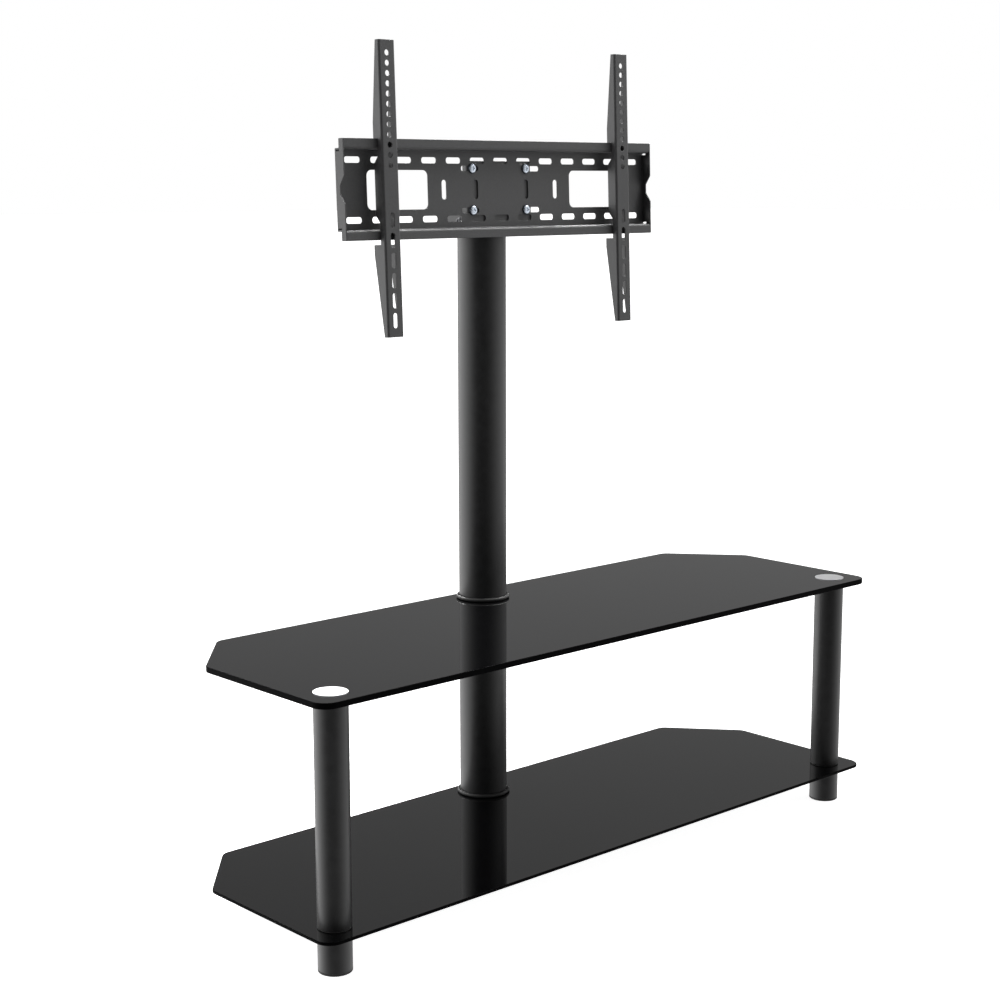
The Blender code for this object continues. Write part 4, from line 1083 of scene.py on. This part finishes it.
def bracket_shape(sizes):
    """Backing plate with two ears, whose lobes lie round the pivot."""
    face, lobe, waist, corner = sizes.head_face, sizes.lobe, sizes.head_waist, sizes.head_corner
    flange = [
        (face + lobe, -lobe, sizes.lobe_foot),
        (face + lobe, lobe, sizes.lobe_back),
        (waist, sizes.head_waist_rise, corner),
        (waist, sizes.head_top, corner),
    ]
    screw_hole = (sizes.screw_hole, sizes.screw_hole, sizes.screw_hole / 2)
    holes = [(face, 0.0, sizes.pivot_hole)]
    holes += [(x, s + sizes.plate_rise, *screw_hole) for x, s in screw_spots(sizes)]
    shape = channel(sizes.head_width, HEAD_REACH, sizes.head_sheet, sizes.bend, flange, holes, sizes.cut_edge)
    return placed(shape, PIVOT + np.array([0, -face, 0]) @ LEAN, LEAN)


def yoke_shape(sizes, pole_wall):
    """Floor on the pole with two cheeks for the pivot bolts, and a ring below it that sits in the pole."""
    low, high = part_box("head_yoke")
    pole_low, pole_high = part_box("pole_upper")
    floor = pole_high.z + GAP
    front, back, top = low.y - PIVOT[1], high.y - PIVOT[1], high.z - floor
    flange = [
        (sizes.yoke_tail, back, sizes.yoke_corner),
        (top, sizes.yoke_crest, sizes.lobe),
        (top, front, sizes.cheek_nose),
    ]
    holes = [(PIVOT[2] - floor, 0.0, sizes.pivot_hole)]
    shape = channel(high.x - low.x, HEAD_REACH, sizes.head_sheet, sizes.bend, flange, holes, sizes.cut_edge)
    cheeks = placed(shape, (0, PIVOT[1], floor), FACE_DOWN)
    bore = (pole_high.x - pole_low.x) / 2 - pole_wall - GAP
    profile = ring_profile(bore, bore - sizes.spigot_wall, low.z, floor, 2 * sizes.cut_edge)
    ring = revolved(profile, FASTENER_STEPS, arc=3)
    return joined(cheeks, placed(ring, middle_of("pole_upper"), UPRIGHT))


class TVSTAND_OT_tilt_head(Operator):
    """Make the tilt bracket and the yoke on the pole"""

    bl_idname = "tvstand.tilt_head"
    bl_label = "Tilt Head"

    def execute(self, context):
        sizes = context.scene.mount_sizes
        piece("tilt_bracket_channel", bracket_shape(sizes), coat(context), "tilt_bracket")
        yoke = yoke_shape(sizes, context.scene.stand_sizes.pole_wall)
        piece("head_yoke_channel", yoke, coat(context), "head_yoke")
        return {"FINISHED"}


def smooth_step(x):
    """From 0 to 1 as x does, with level ends: three squares less two cubes."""
    x = np.clip(x, 0, 1)
    return x * x * (3 - 2 * x)


def pan_head(radius, height, sizes, rows=40, steps=FASTENER_STEPS):
    """A pan head with a cross recess, standing on Z with its seat at zero.

    The profile is a flattened dome: radius times a sine, height times a power of the cosine. The recess
    lowers it by its depth times the larger of two crossed bars, each the product of two smooth steps across
    and along the bar. The last two points of the profile are its rim and a point of its flat underside.
    """
    flatness = 0.7
    swing = np.linspace(0, 1, rows)[1:] * np.pi / 2
    dome = radius * np.sin(swing)
    r = np.concatenate([dome, [radius, radius / 2]])
    z = np.concatenate([height * np.cos(swing) ** flatness, [0.0, 0.0]])
    angle = np.linspace(0, 2 * np.pi, steps, endpoint=False)[:, None]
    x, y = r * np.cos(angle), r * np.sin(angle)
    half_bar, half_run, slope = sizes.recess_width / 2, sizes.recess_run / 2, sizes.recess_slope
    bars = [
        smooth_step((half_bar - np.abs(p)) / slope + 0.5) * smooth_step((half_run - np.abs(q)) / slope + 0.5)
        for p, q in ((x, y), (y, x))
    ]
    on_dome = np.concatenate([np.ones(len(dome)), [0.0, 0.0]])
    points = np.stack([x, y, z - sizes.recess_depth * np.maximum(*bars) * on_dome], axis=-1)
    out = np.concatenate([dome / radius * 0.8, [0.7, 0.0]])
    up = np.concatenate([np.ones(len(dome)), [-0.5, -1.0]])
    normals = np.stack([np.cos(angle) * out, np.sin(angle) * out, np.broadcast_to(up, x.shape)], axis=-1)
    return swept_grid(points, normals, (height - sizes.recess_depth, 0.0))


def threaded(radius, low, high, pitch, steps=40, rows_per_turn=8):
    """A shank about Z with a rolled thread.

    Its radius falls by the thread's depth times half of one plus the cosine of the angle less the height in
    turns, and the thread runs out at both ends by a smooth step.
    """
    depth = 0.55 * pitch
    z = np.linspace(high, low, int((high - low) / pitch * rows_per_turn) + 2)
    angle = np.linspace(0, 2 * np.pi, steps, endpoint=False)[:, None]
    run_out = smooth_step((high - z) / pitch) * smooth_step((z - low) / pitch)
    groove = 0.5 + 0.5 * np.cos(angle - 2 * np.pi * z / pitch)
    r = radius - depth * groove * run_out
    points = np.stack([r * np.cos(angle), r * np.sin(angle), np.broadcast_to(z, r.shape)], axis=-1)
    flat = np.zeros(r.shape)
    normals = np.stack([np.cos(angle) + flat, np.sin(angle) + flat, flat], axis=-1)
    return swept_grid(points, normals, (high, low))


def hexagonal(across, bore, low, high, steps=48):
    """A hexagon ring about Z.

    The radius is the apothem over the cosine of the angle from the middle of the nearest flat, and both ends
    are chamfered by 30 degrees where the hexagon leaves a circle a little smaller than the one inside it.
    """
    angle = np.linspace(0, 2 * np.pi, steps, endpoint=False)
    cos, sin, level = np.cos(angle)[:, None], np.sin(angle)[:, None], np.ones(steps)
    apothem, chamfer, face_share = across / 2, np.radians(30), 0.96
    sector = np.mod(angle + np.pi / 6, np.pi / 3) - np.pi / 6
    radius = apothem / np.cos(sector)
    face, hole = face_share * apothem * level, bore * level
    drop = (radius - face) * np.tan(chamfer)
    r = np.stack([hole, face, radius, radius, face, hole], axis=1)
    z = np.stack([high * level, high * level, high - drop, low + drop, low * level, low * level], axis=1)
    points = np.stack([r * cos, r * sin, z], axis=-1)
    out = np.array([-0.7, 0.4, 1.0, 1.0, 0.4, -0.7])
    up = np.array([0.7, 1.0, 0.3, -0.3, -1.0, -0.7])
    normals = np.stack([cos * out, sin * out, np.broadcast_to(up, r.shape)], axis=-1)
    return swept_grid(points, normals, None)


class TVSTAND_OT_fasteners(Operator):
    """Make the plate screws, the pivot bolts, their nuts and friction washers"""

    bl_idname = "tvstand.fasteners"
    bl_label = "Screws and Pivot Bolts"

    def execute(self, context):
        finishes, sizes = context.scene.stand_finishes, context.scene.mount_sizes
        metal = {"scale": 1500.0, "fleck_scale": 500.0, "tint": (0.86, 1.12), "relief": (0.05, 0.0002)}
        metal["metallic"] = 1.0
        zinc = grained("zinc_plate", finishes.zinc, gloss=(0.2, 0.34), **metal)
        # The near black steel of the washers and threads is painted shade for the slots round the screw heads
        painted_shade = grained("blued_steel", finishes.painted_shade, gloss=(0.45, 0.6), **metal)
        dark = grained("blackened_steel", finishes.dark_steel, gloss=(0.45, 0.6), **metal)
        fibrous = {"tint": (0.7, 1.3), "gloss": (0.7, 0.9), "relief": (0.4, 0.0003)}
        fibre = grained("washer_fibre_finish", finishes.fibre, scale=1200.0, fleck_scale=300.0, **fibrous)
        self.plate_screws(sizes, zinc, painted_shade)
        for side, sign in SIDES:
            self.pivot(sizes, side, sign, dark, fibre)
        return {"FINISHED"}

    def plate_screws(self, sizes, zinc, painted_shade):
        """A pan head on a washer for each screw, with a threaded shank below the washer."""
        seat = -sizes.lip_face + sizes.plate_depth - sizes.sheet - GAP
        head = pan_head(sizes.screw_head / 2, sizes.screw_dome, sizes)
        shank, rise = sizes.screw_shank / 2, sizes.washer_sheet
        # The washer and the threaded shank take the near black finish, which paints the shade in the slots beside
        # and under the heads
        profile = ring_profile(sizes.washer / 2, shank, 0.0, rise, sizes.cut_edge)
        washer = revolved(profile, FASTENER_STEPS, arc=3)
        below = joined(washer, threaded(shank, -sizes.screw_run, 0.0, sizes.screw_pitch))
        axes = np.stack([LEAN[0], LEAN[2], -LEAN[1]])
        for node, (x, s) in zip(screw_nodes(), screw_spots(sizes)):
            base = PIVOT + np.array([x, seat, sizes.plate_rise + s]) @ LEAN
            top = placed(head, base + rise * axes[2], axes)
            piece(node + "_pan_head", top, zinc, node, crease=HEAD_CREASE)
            rest = placed(below, base, axes)
            piece(node + "_washer", rest, painted_shade, None, "mount", crease=HEAD_CREASE)

    def pivot(self, sizes, side, sign, dark, fibre):
        """Bolt, nut and washer of one side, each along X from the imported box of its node."""
        axes = np.array([[0, 1.0, 0], [0, 0, 1.0], [sign * 1.0, 0, 0]])
        reach = {}
        for kind in ("_pivot_bolt", "_pivot_nut", "_friction_washer"):
            low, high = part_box(side + kind)
            reach[kind] = sorted((sign * low.x, sign * high.x))
        start, end = reach["_pivot_bolt"]
        seat = end - sizes.pivot_dome
        origin = np.array([sign * seat, PIVOT[1], PIVOT[2]])
        head = placed(pan_head(sizes.pivot_head / 2, sizes.pivot_dome, sizes), origin, axes)
        thread = threaded(sizes.pivot_shank / 2, start - seat, 0.0, sizes.pivot_pitch)
        name = side + "_pivot_bolt"
        piece(name + "_pan_head", head, dark, name, crease=HEAD_CREASE)
        shank = placed(thread, origin, axes)
        piece(name + "_shank", shank, dark, None, "stand", crease=HEAD_CREASE)
        centre = np.array([0, PIVOT[1], PIVOT[2]])
        bore = sizes.pivot_hole / 2
        nut = placed(hexagonal(sizes.nut_across, bore, *reach["_pivot_nut"]), centre, axes)
        name = side + "_pivot_nut"
        piece(name + "_hexagon", nut, dark, name, crease=NUT_CREASE)
        rim, edge = sizes.friction_washer / 2, sizes.friction_edge
        profile = ring_profile(rim, bore, *reach["_friction_washer"], edge)
        ring = placed(revolved(profile, WASHER_STEPS, arc=3), centre, axes)
        name = side + "_friction_washer"
        piece(name + "_disc", ring, fibre, name)


class TVSTAND_OT_inner_fittings(Operator):
    """Finish the rods, nut plates and inserts inside the tubes"""

    bl_idname = "tvstand.inner_fittings"
    bl_label = "Inner Fittings"

    def execute(self, context):
        rgb = context.scene.stand_finishes.steel
        for side in ("left", "right", "pole"):
            turned = {"centre": middle_of(side + "_rod"), "rings": 1500.0, "rough": (0.3, 0.5)}
            steel = spun_metal(side + "_fitting_steel", rgb, **turned)
            for node, made in frame["nodes"].items():
                inner = "insert" in node or "nut_plate" in node or node.endswith("_rod")
                if inner and (node.startswith(side) or (side == "pole" and node.startswith("rear"))):
                    made.data.materials.clear()
                    made.data.materials.append(steel)
        return {"FINISHED"}


def floor_finish(rgb, emission):
    """Pale floor that glows almost to white, so that only the softest shadow stays on it."""
    grain = {"scale": 40.0, "fleck_scale": 3.0}
    looks = {"tint": (0.98, 1.0), "gloss": (0.8, 0.9), "relief": (0.02, 0.001)}
    finish = grain_finish("studio_floor", rgb, **grain, **looks)
    finish.shader.inputs["Emission Color"].default_value = (1.0, 1.0, 1.0, 1.0)
    finish.shader.inputs["Emission Strength"].default_value = emission
    return finish.material


# Wide lights of the room: setting of the brightness, axis and sharpness
WIDE_LIGHTS = (
    ("left_glow", (-0.55, 0.83, 0.06), 2.4),
    ("right_glow", (0.891, -0.465, 0.04), 2.0),
    ("ceiling_glow", (-0.2, -0.1, 1.0), 3.0),
    ("floor_glow", (0.0, 0.0, -1.0), 2.0),
)
# The flag is centred on this heading and fades out between these cosines of the angle from it
FLAG_AXIS = (0.66, 0.69, 0.295)
FLAG_OUTER, FLAG_INNER = 0.87, 0.95
# Share of the flag's brightness that is even, and the share that grows towards the right
FLAG_EVEN, FLAG_SLOPE = 0.59, 0.62
# Softboxes: setting of the power, place, aim, width, height and spread of the beam in degrees
SOFTBOXES = (
    ("top_light", (0.1, 0.5, 3.2), (0.0, 0.1, 0.5), 2.6, 2.0, 180.0),
    ("back_light", (0.4, 2.25, 2.3), (-0.5555, -0.1523, 0.0), 0.9, 0.9, 30.0),
    ("strip_light", (2.03, -0.4, 3.16), (0.0, 0.1, 1.0), 1.6, 1.0, 40.0),
    ("rim_light", (2.03, 0.85, 3.06), (0.0, 0.1, 1.1), 0.5, 0.5, 24.0),
)
# Place of the camera, and its yaw, pitch and roll in degrees
CAMERA_PLACE = (-2.0688, -2.1497, 1.0970)
CAMERA_TURN = (-42.515, 9.615, -0.117)
SENSOR_WIDTH = 36.0
FLOOR_HALF = 60.0


def wide_light(tree, heading, axis, sharpness, strength):
    """Brightness of a light as wide as the room: strength times a power of the cosine of the angle to it."""
    link = tree.links.new
    aim = add_node(tree, "ShaderNodeVectorMath", operation="DOT_PRODUCT")
    aim.inputs[1].default_value = Vector(axis).normalized()
    ahead = add_node(tree, "ShaderNodeMath", {1: 0.0}, operation="MAXIMUM")
    fall = add_node(tree, "ShaderNodeMath", {1: sharpness}, operation="POWER")
    scale = add_node(tree, "ShaderNodeMath", {1: strength}, operation="MULTIPLY")
    link(heading, aim.inputs[0])
    link(aim.outputs["Value"], ahead.inputs[0])
    link(ahead.outputs["Value"], fall.inputs[0])
    link(fall.outputs["Value"], scale.inputs[0])
    return scale.outputs["Value"]


def studio_world(studio):
    """White behind the object, and for lighting a dark room with wide soft lights and a grey flag."""
    world = bpy.data.worlds.new("studio")
    world.use_nodes = True
    tree = world.node_tree
    tree.nodes.clear()
    link = tree.links.new
    out = tree.nodes.new("ShaderNodeOutputWorld")
    mix = add_node(tree, "ShaderNodeMixShader")
    white = add_node(tree, "ShaderNodeBackground", {"Color": (1, 1, 1, 1), "Strength": 1.0})
    room = add_node(tree, "ShaderNodeBackground", {"Color": (1, 1, 1, 1)})
    heading = tree.nodes.new("ShaderNodeTexCoord").outputs["Generated"]
    lights = [
        wide_light(tree, heading, axis, sharpness, getattr(studio, name))
        for name, axis, sharpness in WIDE_LIGHTS
    ]
    level = add_node(tree, "ShaderNodeMath", {1: studio.surround}, operation="ADD")
    link(lights[0], level.inputs[0])
    for light in lights[1:]:
        sum_up = add_node(tree, "ShaderNodeMath", operation="ADD")
        link(level.outputs["Value"], sum_up.inputs[0])
        link(light, sum_up.inputs[1])
        level = sum_up
    aim = add_node(tree, "ShaderNodeVectorMath", operation="DOT_PRODUCT")
    aim.inputs[1].default_value = FLAG_AXIS
    edge = {"From Min": FLAG_OUTER, "From Max": FLAG_INNER}
    near = add_node(tree, "ShaderNodeMapRange", edge, interpolation_type="SMOOTHSTEP")
    across = add_node(tree, "ShaderNodeVectorMath", operation="DOT_PRODUCT")
    across.inputs[1].default_value = (FLAG_SLOPE * studio.flag, 0.0, 0.0)
    flag = add_node(tree, "ShaderNodeMath", {1: FLAG_EVEN * studio.flag}, operation="ADD")
    flagged = add_node(tree, "ShaderNodeMix", data_type="FLOAT")
    link(heading, across.inputs[0])
    link(across.outputs["Value"], flag.inputs[0])
    link(flag.outputs["Value"], flagged.inputs["B"])
    link(heading, aim.inputs[0])
    link(aim.outputs["Value"], near.inputs["Value"])
    link(near.outputs["Result"], flagged.inputs["Factor"])
    link(level.outputs["Value"], flagged.inputs["A"])
    link(flagged.outputs["Result"], room.inputs["Strength"])
    path = tree.nodes.new("ShaderNodeLightPath")
    link(path.outputs["Is Camera Ray"], mix.inputs["Fac"])
    link(room.outputs["Background"], mix.inputs[1])
    link(white.outputs["Background"], mix.inputs[2])
    link(mix.outputs["Shader"], out.inputs["Surface"])
    return world


def softbox(name, place, target, width, height, spread, power):
    """A rectangular area light that faces its target. A spread under 180 degrees narrows its beam."""
    lamp = bpy.data.lights.new(name, "AREA")
    lamp.shape = "RECTANGLE"
    lamp.size, lamp.size_y = width, height
    lamp.energy = power
    lamp.spread = np.radians(spread)
    made = bpy.data.objects.new(name, lamp)
    bpy.context.scene.collection.objects.link(made)
    made.location = place
    made.rotation_mode = "QUATERNION"
    made.rotation_quaternion = (Vector(target) - Vector(place)).to_track_quat("-Z", "Y")


def photo_camera(lens):
    """Camera at the measured place, turned by its yaw, pitch and roll."""
    yaw, pitch, roll = np.radians(CAMERA_TURN)
    right = np.array([np.cos(yaw), np.sin(yaw), 0.0])
    back = np.array([np.sin(yaw) * np.cos(pitch), -np.cos(yaw) * np.cos(pitch), np.sin(pitch)])
    up = np.cross(back, right)
    across = np.cos(roll) * right + np.sin(roll) * up
    above = np.cos(roll) * up - np.sin(roll) * right
    data = bpy.data.cameras.new("photo_camera")
    data.lens, data.sensor_width, data.sensor_fit = lens, SENSOR_WIDTH, "HORIZONTAL"
    data.clip_start, data.clip_end = 0.05, 200.0
    camera = bpy.data.objects.new("photo_camera", data)
    bpy.context.scene.collection.objects.link(camera)
    turn = Matrix(np.stack([across, above, back], axis=1).tolist()).to_4x4()
    camera.matrix_world = Matrix.Translation(CAMERA_PLACE) @ turn
    bpy.context.scene.camera = camera


class TVSTAND_OT_studio(Operator):
    """Make the floor, the lights and the camera"""

    bl_idname = "tvstand.studio"
    bl_label = "Studio"

    def execute(self, context):
        scene = context.scene
        studio = scene.studio_settings
        signs = ((-1, -1), (1, -1), (1, 1), (-1, 1))
        corners = [(a * FLOOR_HALF, b * FLOOR_HALF, 0) for a, b in signs]
        mesh = bpy.data.meshes.new("studio_floor")
        mesh.from_pydata(corners, [], [(0, 1, 2, 3)])
        mesh.materials.append(floor_finish(studio.floor, studio.floor_emission))
        floor = bpy.data.objects.new("studio_floor", mesh)
        scene.collection.objects.link(floor)
        floor.visible_diffuse = floor.visible_glossy = floor.visible_shadow = False
        scene.world = studio_world(studio)
        for name, *setting in SOFTBOXES:
            softbox(name, *setting, getattr(studio, name))
        scene.view_settings.view_transform = "Standard"
        scene.view_settings.look = "None"
        photo_camera(studio.lens)
        return {"FINISHED"}


OPERATORS = (
    TVSTAND_OT_studio,
    TVSTAND_OT_glass_shelves,
    TVSTAND_OT_tubes,
    TVSTAND_OT_collars,
    TVSTAND_OT_caps,
    TVSTAND_OT_pads_and_gaskets,
    TVSTAND_OT_screen_plate,
    TVSTAND_OT_arms,
    TVSTAND_OT_tilt_head,
    TVSTAND_OT_fasteners,
    TVSTAND_OT_inner_fittings,
)


class TVSTAND_PT_panel(Panel):
    """Lists the settings and the steps that build the stand"""

    bl_idname = "TVSTAND_PT_panel"
    bl_label = "Television Stand"
    bl_space_type = "VIEW_3D"
    bl_region_type = "UI"
    bl_category = "Stand"

    def draw(self, context):
        layout = self.layout
        for operator in OPERATORS:
            layout.operator(operator.bl_idname)
        for settings in SETTINGS:
            box = layout.box()
            group = getattr(context.scene, settings)
            for name in group.bl_rna.properties.keys():
                if name not in ("rna_type", "name"):
                    box.prop(group, name)


SETTINGS = {
    "stand_sizes": StandSizes,
    "mount_sizes": MountSizes,
    "stand_finishes": StandFinishes,
    "studio_settings": StudioSettings,
}


def register():
    for kind in (*SETTINGS.values(), *OPERATORS, TVSTAND_PT_panel):
        bpy.utils.register_class(kind)
    for name, kind in SETTINGS.items():
        setattr(bpy.types.Scene, name, PointerProperty(type=kind))


def unregister():
    for name in SETTINGS:
        delattr(bpy.types.Scene, name)
    for kind in reversed((*SETTINGS.values(), *OPERATORS, TVSTAND_PT_panel)):
        bpy.utils.unregister_class(kind)


def main():
    register()
    bpy.ops.tvstand.studio()
    bpy.ops.tvstand.glass_shelves()
    bpy.ops.tvstand.tubes()
    bpy.ops.tvstand.collars()
    bpy.ops.tvstand.caps()
    bpy.ops.tvstand.pads_and_gaskets()
    bpy.ops.tvstand.screen_plate()
    bpy.ops.tvstand.arms()
    bpy.ops.tvstand.tilt_head()
    bpy.ops.tvstand.fasteners()
    bpy.ops.tvstand.inner_fittings()


if __name__ == "__main__":
    main()
